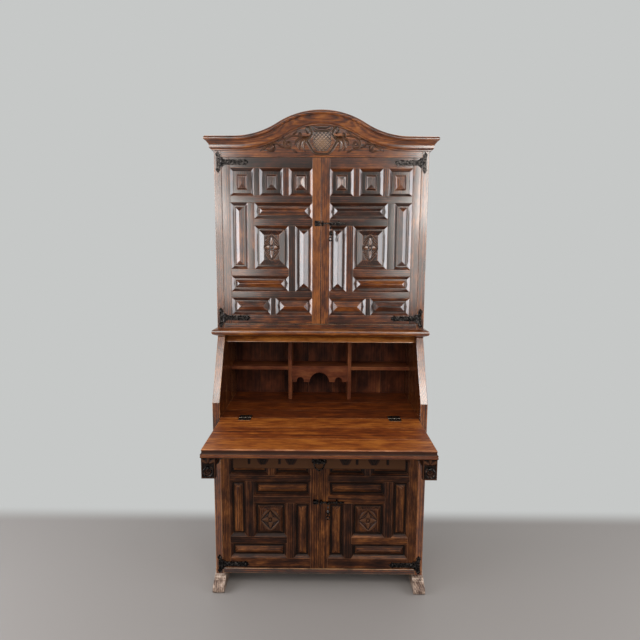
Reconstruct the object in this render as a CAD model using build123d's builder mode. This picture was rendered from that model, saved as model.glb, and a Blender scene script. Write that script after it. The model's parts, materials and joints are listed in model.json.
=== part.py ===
from build123d import *
import os
from math import asin, cos, degrees, radians, sin, tan

os.makedirs("parts", exist_ok=True)

# Vargueno cabinet: upper cupboard, fall-front desk and lower cupboard. Millimetres, Z up,
# origin on the floor under the middle of the whole depth, front towards -Y.
# "d" in this file is a distance forward from the back of the cabinet.

# ---- driving dimensions ----
overall_depth = 747        # back of the case to the nosing of the lowered fall
case_half = 439            # half the outside width of the case
side_board = 30            # thickness of the four side boards
lower_depth = 415.5
upper_depth = 285
foot_height = 72
desk_height = 760          # writing surface
case_joint = 1080          # where the upper case stands on the lower one
upper_top = 1880
shoulder = 1895            # top of the cornice at its ends
crest_rise = 101           # how far the middle of the cornice climbs above its ends
joint_gap = 1.0            # running gap round doors and fall

inner = case_half - side_board
back_thick = 12.5
back_inset = 8
back_face = back_inset + back_thick     # inside face of the back planks
door_thick = 26
door_width = inner - 2 * joint_gap
hinge_x = inner - 0.5                   # door hinge pins stand on the joint at the side boards
fall_thick = 21
fall_hinge_d = 408
fall_close = 118                        # degrees from lowered to shut
drawer_out = 235                        # how far the drawer is drawn out as it stands
loper_out = 319.5                       # how far each loper is drawn out as it stands


def y_at(d):
    return overall_depth / 2 - d


def side_plane(x):
    """Sketch plane across X: local x runs forward from the back, local y runs up, extrudes to -X."""
    return Plane(origin=(x, y_at(0), 0), x_dir=(0, -1, 0), z_dir=(-1, 0, 0))


def front_plane(d):
    """Sketch plane facing the front: local x is X, local y is Z, extrudes forward."""
    return Plane(origin=(0, y_at(d), 0), x_dir=(1, 0, 0), z_dir=(0, -1, 0))


def block(x0, x1, d0, d1, z0, z1, mode=Mode.ADD):
    """A board or a cut given by its limits in x, d and z."""
    with Locations((((x0 + x1) / 2, y_at((d0 + d1) / 2), (z0 + z1) / 2))):
        Box(abs(x1 - x0), d1 - d0, z1 - z0, mode=mode)


def board(x0, x1, d0, d1, z0, z1, ease=0.0):
    """A loose board, its long arrises eased."""
    with BuildPart() as piece:
        block(x0, x1, d0, d1, z0, z1)
        if ease:
            chamfer(piece.edges(), ease)
    return piece.part


def save(solids, name):
    """Writes one node: one solid, or several separate ones side by side."""
    node = solids[0] if len(solids) == 1 else Compound(children=solids)
    node.label = name
    export_step(node, f"parts/{name}.step")


def sided(name, side):
    return f"{name}_{'left' if side < 0 else 'right'}"


sides = (-1, 1)

# ---- sledge feet: a long runner with a stepped toe ----
foot_inner = 401
foot_outer = 449
for side in sides:
    with BuildPart() as foot:
        with BuildSketch(side_plane(max(side * foot_inner, side * foot_outer))):
            with BuildLine():
                Polyline((438, 0), (0, 0), (0, foot_height), (385, foot_height), (385, 57), (405, 48),
                         (409, 38))
                Spline((409, 38), (432, 32), (447, 15), tangents=((1, 0.1), (0.1, -1)))
                Spline((447, 15), (445, 5), (438, 0), tangents=((0, -1), (-1, -0.2)))
            make_face()
        extrude(amount=foot_outer - foot_inner)
    save([foot.part], sided("foot", side))

# ---- lower case: side boards with the sloping desk cheeks ----
cheek_break = 823.4        # where the front edge starts to slope back
cheek_top = 1074.5
for side in sides:
    with BuildPart() as lower_side:
        with BuildSketch(side_plane(max(side * inner, side * case_half))):
            Polygon((0, foot_height), (lower_depth, foot_height), (lower_depth, cheek_break),
                    (upper_depth, cheek_top), (upper_depth, case_joint), (0, case_joint), align=None)
        extrude(amount=side_board)
        front_arrises = lower_side.edges().filter_by(
            lambda e: e.center().Y < y_at(upper_depth - 10) and e.length > 100)
        chamfer(front_arrises, 1.5)
    save([lower_side.part], sided("lower_side", side))

# ---- lower cupboard boards ----
rail_thick = 24
base_top = 97
door_low_z0 = 98.5
door_low_z1 = 625
deck_z0 = 627
deck_z1 = 650
save([board(-inner, inner, back_face, lower_depth - rail_thick, foot_height, base_top)], "base_board")
save([board(-inner, inner, lower_depth - rail_thick, lower_depth, foot_height + 1, base_top, 1.5)],
     "bottom_rail")
save([board(-inner, inner, back_face, 380, 352, 370)], "base_shelf")
save([board(-inner, inner, back_face, lower_depth, deck_z0, deck_z1, 1.0)], "deck_board")

# ---- guides and runners of the lopers and the drawer ----
bed_z0 = desk_height - fall_thick
guide_in = 316             # the drawer runs inside these
guide_out = 356            # the lopers run outside them
runner_top = 689.5
loper_face = 22            # thickness of the loper head
for side in sides:
    guide = board(*sorted((side * guide_in, side * guide_out)), back_face, lower_depth, deck_z1, bed_z0)
    runner = board(*sorted((side * guide_out, side * inner)), back_face,
                   lower_depth - loper_face - 1.5, deck_z1, runner_top)
    save([guide, runner], sided("loper_guide", side))

# ---- desk bed, with recesses for the two butt hinges of the fall ----
fall_hinges = (-306, 306)
hinge_length = 50
knuckle_r = 3.0
with BuildPart() as bed:
    block(-inner, inner, back_face, fall_hinge_d - 0.3, bed_z0, desk_height)
    for x in fall_hinges:
        with BuildSketch(side_plane(x + hinge_length / 2 + 1)):
            with Locations((fall_hinge_d, desk_height)):
                Circle(knuckle_r + 0.6)
        extrude(amount=hinge_length + 2, mode=Mode.SUBTRACT)
save([bed.part], "desk_bed")

# ---- back planks ----
plank_count = 7


def planks(z0, z1):
    width = 2 * inner / plank_count
    return [board(-inner + i * width, -inner + (i + 1) * width, back_inset, back_face, z0, z1)
            for i in range(plank_count)]


save(planks(foot_height + 1, case_joint), "lower_back")
save(planks(case_joint + 0.5, 1861.5), "upper_back")

# ---- desk top: its front edge lies along the inside of the shut fall ----
desk_top_z0 = 1048
shut_slope = tan(radians(180 - fall_close))


def shut_d(z):
    return fall_hinge_d - (z - desk_height) / shut_slope


with BuildPart() as desk_top:
    with BuildSketch(side_plane(inner)):
        Polygon((back_face, desk_top_z0), (shut_d(desk_top_z0) - 0.6, desk_top_z0),
                (shut_d(case_joint) - 0.6, case_joint), (back_face, case_joint), align=None)
    extrude(amount=2 * inner)
save([desk_top.part], "desk_top")

# ---- pigeonholes: two dividers, three shelves and a scalloped apron ----
pigeon_depth = 142
pigeon_mid = -2.5          # the middle bay stands a little to the left
bay_half = 129
divider_thick = 16
shelf_z0 = 899
shelf_z1 = 915
apron_thick = 12
apron_z0 = 842
bay_edges = [pigeon_mid + side * bay_half for side in sides]
for side, edge in zip(sides, bay_edges):
    span = sorted((edge, edge + side * divider_thick))
    save([board(*span, back_face, pigeon_depth, desk_height, desk_top_z0)], sided("divider", side))
shelf_left = board(-inner, bay_edges[0] - divider_thick, back_face, pigeon_depth, shelf_z0, shelf_z1)
shelf_mid = board(*bay_edges, back_face, pigeon_depth - apron_thick, shelf_z0, shelf_z1)
shelf_right = board(bay_edges[1] + divider_thick, inner, back_face, pigeon_depth, shelf_z0, shelf_z1)
save([shelf_left, shelf_mid, shelf_right], "pigeonhole_shelf")

big_arch_r = 45
small_arch_r = 16.5
small_arch_off = 88.5
small_arch_stilt = 6
with BuildPart() as apron:
    with BuildSketch(front_plane(pigeon_depth - apron_thick)):
        with Locations((pigeon_mid, (apron_z0 + shelf_z1 + 2) / 2)):
            Rectangle(2 * bay_half, shelf_z1 + 2 - apron_z0)
        with Locations((pigeon_mid - 1.5, apron_z0)):
            Circle(big_arch_r, mode=Mode.SUBTRACT)
        for side in sides:
            with Locations((pigeon_mid - 1.5 + side * small_arch_off, apron_z0 + small_arch_stilt)):
                Circle(small_arch_r, mode=Mode.SUBTRACT)
            with Locations((pigeon_mid - 1.5 + side * small_arch_off, apron_z0)):
                Rectangle(2 * small_arch_r, 2 * small_arch_stilt, mode=Mode.SUBTRACT)
    extrude(amount=apron_thick)
save([apron.part], "pigeonhole_apron")


# ---- mitred mouldings round the front and both sides of the upper case ----
def mitre(x_side, d):
    """The upright 45 degree plane through a front corner, facing outward."""
    return Plane(origin=(x_side * case_half, y_at(d), 0), z_dir=(x_side, 1, 0))


def moulding_return(outline, x_side, reach):
    """One straight side length of a moulding; the outline gives (projection, z) points and arcs."""
    with BuildPart() as length:
        with BuildSketch(Plane(origin=(x_side * case_half, y_at(0), 0), x_dir=(x_side, 0, 0),
                               z_dir=(0, -x_side, 0))):
            with BuildLine():
                outline()
            make_face()
        extrude(amount=x_side * (upper_depth + reach))
        split(bisect_by=mitre(x_side, upper_depth), keep=Keep.TOP)
    return length.part


waist_reach = 22
waist_z1 = 1113


def waist_outline():
    Polyline((17, 1087), (3, case_joint), (0, case_joint), (0, waist_z1), (2, waist_z1), (18, 1106.5))
    ThreePointArc((18, 1106.5), (waist_reach, 1096.7), (17, 1087))


with BuildPart() as waist_front:
    with BuildSketch(Plane(origin=(-case_half - waist_reach, y_at(upper_depth), 0), x_dir=(0, -1, 0),
                           z_dir=(-1, 0, 0))):
        with BuildLine():
            waist_outline()
        make_face()
    extrude(amount=-2 * (case_half + waist_reach))
    for side in sides:
        split(bisect_by=mitre(side, upper_depth), keep=Keep.BOTTOM)
save([waist_front.part] + [moulding_return(waist_outline, side, waist_reach) for side in sides],
     "waist_moulding")

# ---- upper case boards ----
door_up_z0 = 1134
door_up_z1 = 1817
upper_floor = 1132.5
for side in sides:
    save([board(*sorted((side * inner, side * case_half)), 0, upper_depth, case_joint, upper_top, 1.0)],
         sided("upper_side", side))
with BuildPart() as upper_bottom:
    block(-inner, inner, back_face, upper_depth, waist_z1, upper_floor)
    block(-inner, inner, upper_depth - rail_thick, upper_depth, case_joint, waist_z1)
save([upper_bottom.part], "upper_bottom")
save([board(-inner, inner, back_inset, upper_depth - rail_thick, 1862, upper_top)], "upper_roof")
shelf_front = upper_depth - door_thick - 8
save([board(-inner, inner, back_face, shelf_front, z, z + 18) for z in (1350, 1585)], "upper_shelves")

# ---- crest curve: two equal arcs each side, flat at the shoulder and at the middle ----
curve_end = 354
arc_r = (curve_end ** 2 + crest_rise ** 2) / (4 * crest_rise)
turn_x = curve_end / 2
turn_z = crest_rise / 2
half_turn = asin(turn_x / arc_r) / 2
hollow_mid = (curve_end - arc_r * sin(half_turn), arc_r * (1 - cos(half_turn)))


def crest(half_width, z):
    """The line of the crest from left to right, its ends at height z."""
    Line((-half_width, z), (-curve_end, z))
    ThreePointArc((-curve_end, z), (-hollow_mid[0], z + hollow_mid[1]), (-turn_x, z + turn_z))
    ThreePointArc((-turn_x, z + turn_z), (0, z + crest_rise), (turn_x, z + turn_z))
    ThreePointArc((turn_x, z + turn_z), (hollow_mid[0], z + hollow_mid[1]), (curve_end, z))
    Line((curve_end, z), (half_width, z))


frieze_z0 = 1818.5
frieze_top = shoulder - 8
with BuildPart() as frieze:
    with BuildSketch(front_plane(upper_depth - rail_thick)):
        with BuildLine():
            crest(inner, frieze_top)
            Polyline((inner, frieze_top), (inner, frieze_z0), (-inner, frieze_z0), (-inner, frieze_top))
        make_face()
    extrude(amount=rail_thick)
save([frieze.part], "frieze_board")

shield_half = 64
shield_z0 = 1834
shield_z1 = 1932
with BuildPart() as cartouche:
    with BuildSketch(front_plane(upper_depth)):
        with BuildLine():
            Spline((0, shield_z0), (shield_half, 1880), (shield_half * 0.75, shield_z1),
                   tangents=((1, 0.1), (-0.6, 1)))
            Line((shield_half * 0.75, shield_z1), (-shield_half * 0.75, shield_z1))
            Spline((-shield_half * 0.75, shield_z1), (-shield_half, 1880), (0, shield_z0),
                   tangents=((-0.6, -1), (1, -0.1)))
        make_face()
    extrude(amount=9)
    chamfer(cartouche.faces().sort_by(Axis.Y)[0].edges(), 2.5)
save([cartouche.part], "cartouche")

# ---- cornice: a swept front length over the crest and two straight returns ----
cornice_reach = 34


def cornice_outline():
    Polyline((26, shoulder - 17), (17, shoulder - 29), (15.5, shoulder - 33), (15.5, shoulder - 41))
    ThreePointArc((15.5, shoulder - 41), (13, shoulder - 46), (8, shoulder - 48))
    Polyline((8, shoulder - 48), (8, shoulder - 51), (0, shoulder - 51), (0, shoulder), (30, shoulder),
             (30, shoulder - 2))
    ThreePointArc((30, shoulder - 2), (cornice_reach, shoulder - 9), (26, shoulder - 17))


with BuildPart() as cornice_front:
    with BuildLine(front_plane(upper_depth)):
        crest(case_half + cornice_reach, shoulder)
    with BuildSketch(Plane(origin=(-case_half - cornice_reach, y_at(upper_depth), 0),
                           x_dir=(0, -1, 0), z_dir=(-1, 0, 0))):
        with BuildLine():
            cornice_outline()
        make_face()
    sweep()
    for side in sides:
        split(bisect_by=mitre(side, upper_depth), keep=Keep.BOTTOM)
save([cornice_front.part], "cornice_front")
for side in sides:
    save([moulding_return(cornice_outline, side, cornice_reach)], sided("cornice_return", side))

# ---- doors: a chamfered lattice split into its stiles and rails, and raised panels behind it ----
stile = 33                 # hinge side
meeting = 35
chamfer_run = 12           # how far the chamfer of a frame member runs into the field
chamfer_drop = 11
bar_border = 4             # flat field left round the raised bars
square_border = 13.5       # round the raised squares
middle_border = 5.5        # and round the middle panels
panel_lap = 5
panel_thick = 10


def pinwheel(left, right, low, high, tall, bar, rail):
    """Fields and members of the pinwheel round the middle panel, as (x0, x1, z0, z1)."""
    in_left = left + tall
    in_right = right - tall
    in_low = low + bar
    in_high = high - bar
    fields = [(left, in_left, in_low + rail, high), (in_left + rail, right, in_high, high),
              (in_right, right, low, in_high - rail), (left, in_right - rail, low, in_low)]
    middle = (in_left + rail, in_right - rail, in_low + rail, in_high - rail)
    members = [(in_left, in_left + rail, in_low + rail, high),
               (in_left + rail, right, in_high - rail, in_high),
               (in_right - rail, in_right, low, in_high - rail),
               (left, in_right - rail, in_low, in_low + rail)]
    return fields, middle, members


def row(count, left, right, low, high, muntin, first=None):
    """A row of fields with the short muntins between them."""
    plain = (right - left - (count - 1) * muntin) / count
    fields = []
    members = []
    x = left
    for i in range(count):
        width = first if first and i == 0 else (right - x if i == count - 1 else plain)
        fields.append((x, x + width, low, high))
        if i < count - 1:
            members.append((x + width, x + width + muntin, low, high))
        x += width + muntin
    return fields, members


def upper_layout():
    left, right, height = stile, door_width - meeting, door_up_z1 - door_up_z0
    low, low_top, wheel, wheel_top, squares, squares_top = 36, 109.5, 136, 503.5, 530.5, 642
    fields, middle, members = pinwheel(left, right, wheel, wheel_top, 71, 66, 28)
    top_fields, top_muntins = row(3, left, right, squares, squares_top, 24)
    low_fields, low_muntins = row(2, left, right, low, low_top, 20, first=164.5)
    members += top_muntins + low_muntins
    members += [(left, right, 0, low), (left, right, low_top, wheel), (left, right, wheel_top, squares),
                (left, right, squares_top, height), (0, left, 0, height), (right, door_width, 0, height)]
    return fields + top_fields + low_fields, middle, members


def lower_layout():
    left, right, height = stile, door_width - meeting, door_low_z1 - door_low_z0
    wheel, wheel_top, top, top_end = 46, 390.5, 416, 487
    fields, middle, members = pinwheel(left, right, wheel, wheel_top, 71, 67, 29)
    top_fields, top_muntins = row(2, left, right, top, top_end, 20, first=164.5)
    members += top_muntins
    members += [(left, right, 0, wheel), (left, right, wheel_top, top), (left, right, top_end, height),
                (0, left, 0, height), (right, door_width, 0, height)]
    return fields + top_fields, middle, members


def inset(field, by):
    return field[0] + by, field[1] - by, field[2] + by, field[3] - by


def rect_in_sketch(field, mode=Mode.ADD):
    with Locations(((field[0] + field[1]) / 2, (field[2] + field[3]) / 2)):
        Rectangle(field[1] - field[0], field[3] - field[2], mode=mode)


def door_plane(side, z0, d):
    """Local x runs from the hinge edge to the meeting edge, local y up from the foot of the door."""
    x_edge = side * (inner - joint_gap)
    if side < 0:
        return Plane(origin=(x_edge, y_at(d), z0), x_dir=(1, 0, 0), z_dir=(0, -1, 0))
    return Plane(origin=(x_edge, y_at(d), z0), x_dir=(-1, 0, 0), z_dir=(0, 1, 0))


def into_door(side):
    """Extrusion sign that goes from the face of a door towards its back."""
    return -1 if side < 0 else 1


def lattice(plane, side, all_fields, height):
    back = into_door(side)
    with BuildPart() as frame:
        with BuildSketch(plane):
            rect_in_sketch((0, door_width, 0, height))
        extrude(amount=back * door_thick)
        for field in all_fields:
            toe = inset(field, chamfer_run)
            with BuildSketch(plane):
                rect_in_sketch(field)
            with BuildSketch(plane.offset(back * chamfer_drop)):
                rect_in_sketch(toe)
            loft(mode=Mode.SUBTRACT)
            with BuildSketch(plane):
                rect_in_sketch(toe)
            extrude(amount=back * door_thick, mode=Mode.SUBTRACT)
            with BuildSketch(plane.offset(back * (chamfer_drop + 1))):
                rect_in_sketch(inset(toe, -panel_lap))
            extrude(amount=back * door_thick, mode=Mode.SUBTRACT)
    return frame.part


def flap(field, edge):
    """The strip of a field along one edge that belongs to the member on that edge, mitred."""
    x0, x1, z0, z1 = field
    c = chamfer_run
    corners = {"left": ((x0, z0), (x0 + c, z0 + c), (x0 + c, z1 - c), (x0, z1)),
               "right": ((x1, z0), (x1, z1), (x1 - c, z1 - c), (x1 - c, z0 + c)),
               "low": ((x0, z0), (x1, z0), (x1 - c, z0 + c), (x0 + c, z0 + c)),
               "high": ((x0, z1), (x0 + c, z1 - c), (x1 - c, z1 - c), (x1, z1))}
    return corners[edge]


def touches(member, field, edge):
    """True where one edge of a field lies along this member."""
    x_mid = (field[0] + field[1]) / 2
    z_mid = (field[2] + field[3]) / 2
    point = {"left": (field[0] - 1, z_mid), "right": (field[1] + 1, z_mid),
             "low": (x_mid, field[2] - 1), "high": (x_mid, field[3] + 1)}[edge]
    return member[0] < point[0] < member[1] and member[2] < point[1] < member[3]


def split_members(frame, plane, side, all_fields, members):
    pieces = []
    for member in members:
        with BuildPart() as piece:
            add(frame)
            with BuildSketch(plane):
                rect_in_sketch(member)
                for field in all_fields:
                    for edge in ("left", "right", "low", "high"):
                        if touches(member, field, edge):
                            Polygon(*flap(field, edge), align=None)
            extrude(amount=into_door(side) * door_thick, mode=Mode.INTERSECT)
        pieces.append(piece.part)
    return pieces


def raised_panel(plane, side, toe, border, steps):
    """A thin panel let in behind the lattice, with a block standing on it; steps are (inset, rise)."""
    back = into_door(side)
    level = chamfer_drop + 1
    with BuildPart() as panel:
        with BuildSketch(plane.offset(back * level)):
            rect_in_sketch(inset(toe, 0.2 - panel_lap))
        extrude(amount=back * panel_thick)
        foot = inset(toe, border)
        for step_in, rise in steps:
            with BuildSketch(plane.offset(back * level)):
                rect_in_sketch(foot)
            foot = inset(foot, step_in)
            level -= rise
            with BuildSketch(plane.offset(back * level)):
                rect_in_sketch(foot)
            loft()
    return panel.part


def small_panel(plane, side, field):
    """A bar hipped to a ridge, or a square with a steep bevel under a low pyramid."""
    toe = inset(field, chamfer_run)
    half = min(toe[1] - toe[0], toe[3] - toe[2]) / 2
    if half < 28:
        return raised_panel(plane, side, toe, bar_border, [(half - bar_border - 0.6, 10.5)])
    return raised_panel(plane, side, toe, square_border,
                        [(7, 6.5), (half - square_border - 7.6, 3.5)])


def middle_panel(plane, side, middle, half, oval_height, bevel):
    """The middle panel and the pointed oval boss let into it."""
    back = into_door(side)
    x = (middle[0] + middle[1]) / 2
    z = (middle[2] + middle[3]) / 2
    with BuildPart() as boss:
        with BuildSketch(plane.offset(back * 10)):
            with BuildLine():
                ThreePointArc((x, z - oval_height / 2), (x + half, z), (x, z + oval_height / 2))
                ThreePointArc((x, z + oval_height / 2), (x - half, z), (x, z - oval_height / 2))
            make_face()
        extrude(amount=-back * 11)
        chamfer(boss.faces().sort_by(Axis.Y)[0].edges(), 2)
    with BuildPart() as panel:
        add(raised_panel(plane, side, inset(middle, chamfer_run), middle_border, [(bevel, 10)]))
        add(boss.part, mode=Mode.SUBTRACT)
    return [panel.part, boss.part]


# ---- door ironwork: strap hinges, jamb plates, bolt keeper and staples ----
iron = 2.5
pin_r = 2.5
bore_r = 2.55
barrel_r = 4.3
pin_stand = 4.7            # axis of the hinge pins in front of the door faces
barrel_half = 11
strap_half = 10.5
strap_length = 112


def strap_outline(start, side):
    """Flared root, parallel strap and arrow-shaped end, along +x or -x from the hinge."""
    s = -side
    points = [(start, -16), (start + 9, -strap_half), (start + 86, -strap_half), (start + 91, -14.5),
              (strap_length, 0), (start + 91, 14.5), (start + 86, strap_half), (start + 9, strap_half),
              (start, 16)]
    return [(side * hinge_x + s * x, z) for x, z in points]


def nail(x, z, d):
    with BuildPart() as head:
        with BuildSketch(front_plane(d)):
            with Locations((x, z)):
                Circle(4.2)
        extrude(amount=2.2)
        chamfer(head.faces().sort_by(Axis.Y)[0].edges(), 1.6)
    return head.part


def strap_hinge(side, face, z):
    """The leaf that rides the door: barrel round the pin, strap on the face, three nails."""
    with BuildPart() as strap:
        with BuildSketch(Plane(origin=(0, 0, z - barrel_half))):
            with Locations((side * hinge_x, y_at(face + pin_stand))):
                Circle(barrel_r)
        extrude(amount=2 * barrel_half)
        with BuildSketch(front_plane(face)):
            Polygon(*[(x, z + dz) for x, dz in strap_outline(6, side)], align=None)
        extrude(amount=iron)
        block(side * hinge_x, side * (hinge_x - 8), face + 0.3, face + iron, z - barrel_half,
              z + barrel_half)
        with BuildSketch(Plane(origin=(0, 0, z - barrel_half))):
            with Locations((side * hinge_x, y_at(face + pin_stand))):
                Circle(bore_r)
        extrude(amount=2 * barrel_half, mode=Mode.SUBTRACT)
    heads = [nail(side * (hinge_x - x), z, face + iron) for x in (18, 60, 96)]
    return [strap.part] + heads


jamb_half = 43.5
jamb_in = 4.8
jamb_out = 24
knuckle_low = barrel_half + 0.4
knuckle_high = 19


def jamb_plate(side, face, z):
    """The fixed half: a pointed plate on the side board, two knuckles and the pin."""
    x_mid = (jamb_in + jamb_out) / 2
    with BuildPart() as plate:
        with BuildSketch(front_plane(face)):
            Polygon(*[(side * (hinge_x + x), z + dz) for x, dz in
                      ((jamb_in, -30), (x_mid, -jamb_half), (jamb_out, -30), (jamb_out - 4, -22),
                       (jamb_out - 4, 22), (jamb_out, 30), (x_mid, jamb_half), (jamb_in, 30))], align=None)
        extrude(amount=iron)
        with BuildSketch(Plane(origin=(0, 0, z - knuckle_high))):
            with Locations((side * hinge_x, y_at(face + pin_stand))):
                Circle(pin_r)
        extrude(amount=2 * knuckle_high)
        for low in (-knuckle_high, knuckle_low):
            with BuildSketch(Plane(origin=(0, 0, z + low))):
                with Locations((side * hinge_x, y_at(face + pin_stand))):
                    Circle(barrel_r)
            extrude(amount=knuckle_high - knuckle_low)
            block(side * (hinge_x + 1), side * (hinge_x + jamb_in + 1), face + 0.3, face + iron,
                  z + low, z + low + knuckle_high - knuckle_low)
    return plate.part


bar_z = 6                  # bolt bar: height, thickness and stand-off from the door face
bar_d = 5
bar_off = 3
bolt_length = 101.5
bolt_start = 1.5
staple_off = (7.5, 73)
slack = 0.4


def clip(x, face, z, width):
    """A bridge of iron over the bolt bar, with feet on the door face."""
    with BuildPart() as bridge:
        block(x - width / 2, x + width / 2, face, face + bar_off + bar_d + 2.4, z - 6, z + 6)
        block(x - width / 2, x + width / 2, face, face + 2, z - 11, z + 11)
        block(x - width, x + width, face + bar_off - slack, face + bar_off + bar_d + slack,
              z - bar_z / 2 - slack, z + bar_z / 2 + slack, Mode.SUBTRACT)
    return bridge.part


doors = (("upper_door", upper_depth, door_up_z0, door_up_z1, upper_layout(), (33, 114, 21), (1798, 1158),
          1553.5),
         ("lower_door", lower_depth, door_low_z0, door_low_z1, lower_layout(), (39, 92, 11), (605.5, 117),
          400))
jamb_irons = []
for door, face, z0, z1, (fields, middle, members), boss, hinge_heights, bolt_z in doors:
    for side in sides:
        plane = door_plane(side, z0, face)
        everything = fields + [middle]
        frame = lattice(plane, side, everything, z1 - z0)
        save(split_members(frame, plane, side, everything, members), sided(door, side) + "_frame")
        panels = [small_panel(plane, side, field) for field in fields]
        save(panels + middle_panel(plane, side, middle, *boss), sided(door, side) + "_panels")
        irons = [piece for z in hinge_heights for piece in strap_hinge(side, face, z)]
        if side < 0:
            irons.append(clip(-14.5, face, bolt_z, 23))
        else:
            irons += [clip(x, face, bolt_z, 7) for x in staple_off]
        save(irons, sided(door, side) + "_irons")
        jamb_irons += [jamb_plate(side, face, z) for z in hinge_heights]
save(jamb_irons, "jamb_hinges")

# ---- sliding bolts with hanging handles ----
drop_stand = 12.6          # the handle's pin in front of the door face
drop_pin_r = 1.5
drop_bore_r = 1.56
ear_gap = 4
ear_thick = 2.2


def bolt(x, face, z):
    with BuildPart() as bar:
        block(bolt_start, bolt_start + bolt_length, face + bar_off, face + bar_off + bar_d,
              z - bar_z / 2, z + bar_z / 2)
        for ear in (x - ear_gap - ear_thick, x + ear_gap):
            block(ear, ear + ear_thick, face + bar_off, face + drop_stand + 3, z - 5, z + 3)
        with BuildSketch(side_plane(x + ear_gap + 1)):
            with Locations((face + drop_stand, z - 2)):
                Circle(drop_pin_r)
        extrude(amount=2 * ear_gap + 2)
    return bar.part


def bolt_drop(x, face, z):
    """An eye on the pin, a turned stem and a flat end ring."""
    y = y_at(face + drop_stand)
    top = z - 2
    ring_z = top - 64
    with BuildPart() as drop:
        with BuildSketch(Plane(origin=(x, y, top), x_dir=(1, 0, 0), z_dir=(0, -1, 0))):
            with BuildLine():
                Line((0, -3), (3, -4))
                Spline((3, -4), (2, -12), (4.6, -17), (2.4, -22), (4, -30), (7, -38), (3, -48),
                       (2.2, -54))
                Polyline((2.2, -54), (0, -55), (0, -3))
            make_face()
        revolve(axis=Axis((x, y, top), (0, 0, 1)))
        with BuildSketch(side_plane(x + 3.7)):
            with Locations((face + drop_stand, top)):
                Circle(4.2)
        extrude(amount=7.4)
        with Locations((x, y, ring_z + 2)):
            Torus(7, 2.4, rotation=(90, 0, 0))
        with BuildSketch(side_plane(x + 5)):
            with Locations((face + drop_stand, top)):
                Circle(drop_bore_r)
        extrude(amount=10, mode=Mode.SUBTRACT)
    return drop.part


for name, face, z, x in (("upper_bolt", upper_depth, 1553.5, 40.6), ("lower_bolt", lower_depth, 400, 36.6)):
    save([bolt(x, face, z)], name)
    save([bolt_drop(x, face, z)], name + "_drop")

# ---- fall: board, moulded edging on three sides, two hinge leaves ----
edge_reach = 10.8          # edging in front of the board
edge_side = 4.5
edge_drop = 10             # lip of the front edging below the board
fall_half = inner - 0.8
board_half = fall_half - edge_side
board_front = overall_depth - edge_reach
with BuildPart() as fall_board:
    block(-board_half, board_half, fall_hinge_d + 0.3, board_front, bed_z0, desk_height)
    for x in fall_hinges:
        with BuildSketch(side_plane(x + hinge_length / 2 + 1)):
            with Locations((fall_hinge_d, desk_height)):
                Circle(knuckle_r + 0.6)
        extrude(amount=hinge_length + 2, mode=Mode.SUBTRACT)
save([fall_board.part], "fall_board")


def nosing(reach, bottom, bead):
    """Edging outline, with 0 at the edge of the board: eased arris, hollow, then a half-round bead."""
    hollow_top = desk_height - 4
    hollow_low = bottom + 2 * bead
    Polyline((reach - bead, bottom), (0, bottom), (0, desk_height), (0.5, desk_height))
    ThreePointArc((0.5, desk_height), (reach * 0.3, desk_height - 1.2), (reach * 0.4, hollow_top))
    ThreePointArc((reach * 0.4, hollow_top), (reach * 0.28, (hollow_top + hollow_low) / 2),
                  (reach - bead, hollow_low))
    ThreePointArc((reach - bead, hollow_low), (reach, bottom + bead), (reach - bead, bottom))


edging = []
with BuildPart() as front_edging:
    with BuildSketch(Plane(origin=(fall_half, y_at(board_front), 0), x_dir=(0, -1, 0), z_dir=(-1, 0, 0))):
        with BuildLine():
            nosing(edge_reach, bed_z0 - edge_drop, 5.8)
        make_face()
    extrude(amount=2 * fall_half)
    for side in sides:
        split(bisect_by=Plane(origin=(side * board_half, y_at(board_front), 0),
                              z_dir=(side * edge_reach, edge_side, 0)), keep=Keep.BOTTOM)
edging.append(front_edging.part)
for side in sides:
    with BuildPart() as side_edging:
        with BuildSketch(Plane(origin=(side * board_half, y_at(fall_hinge_d + 0.3), 0),
                               x_dir=(side, 0, 0), z_dir=(0, -side, 0))):
            with BuildLine():
                nosing(edge_side, bed_z0, 3)
            make_face()
        extrude(amount=side * (overall_depth - fall_hinge_d - 0.3))
        split(bisect_by=Plane(origin=(side * board_half, y_at(board_front), 0),
                              z_dir=(side * edge_reach, edge_side, 0)), keep=Keep.TOP)
    edging.append(side_edging.part)
save(edging, "fall_nosing")

leaf_reach = 33
leaf_thick = 1.5
knuckles = 5
knuckle_play = 0.3


def butt_leaf(x, forward):
    """One leaf: plate on the wood and its share of the knuckles; the bed leaf carries the pin."""
    step = hinge_length / knuckles
    left = x - hinge_length / 2
    with BuildPart() as leaf:
        d0, d1 = ((fall_hinge_d + 3.9, fall_hinge_d + leaf_reach) if forward
                  else (fall_hinge_d - leaf_reach, fall_hinge_d - 3.9))
        block(left, left + hinge_length, d0, d1, desk_height, desk_height + leaf_thick)
        for i in range(1 if forward else 0, knuckles, 2):
            start = left + i * step + knuckle_play / 2
            with BuildSketch(side_plane(start + step - knuckle_play)):
                with Locations((fall_hinge_d, desk_height)):
                    Circle(knuckle_r)
            extrude(amount=step - knuckle_play)
            inner_d, outer_d = sorted((fall_hinge_d, d0 + 0.5 if forward else d1 - 0.5))
            block(start, start + step - knuckle_play, inner_d, outer_d, desk_height + 0.1,
                  desk_height + leaf_thick)
        with BuildSketch(side_plane(left + hinge_length)):
            with Locations((fall_hinge_d, desk_height)):
                Circle(1.25 if forward else 1.2)
        extrude(amount=hinge_length, mode=Mode.SUBTRACT if forward else Mode.ADD)
    return leaf.part


save([butt_leaf(x, False) for x in fall_hinges], "bed_hinge_leaves")
save([butt_leaf(x, True) for x in fall_hinges], "fall_hinge_leaves")

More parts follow.
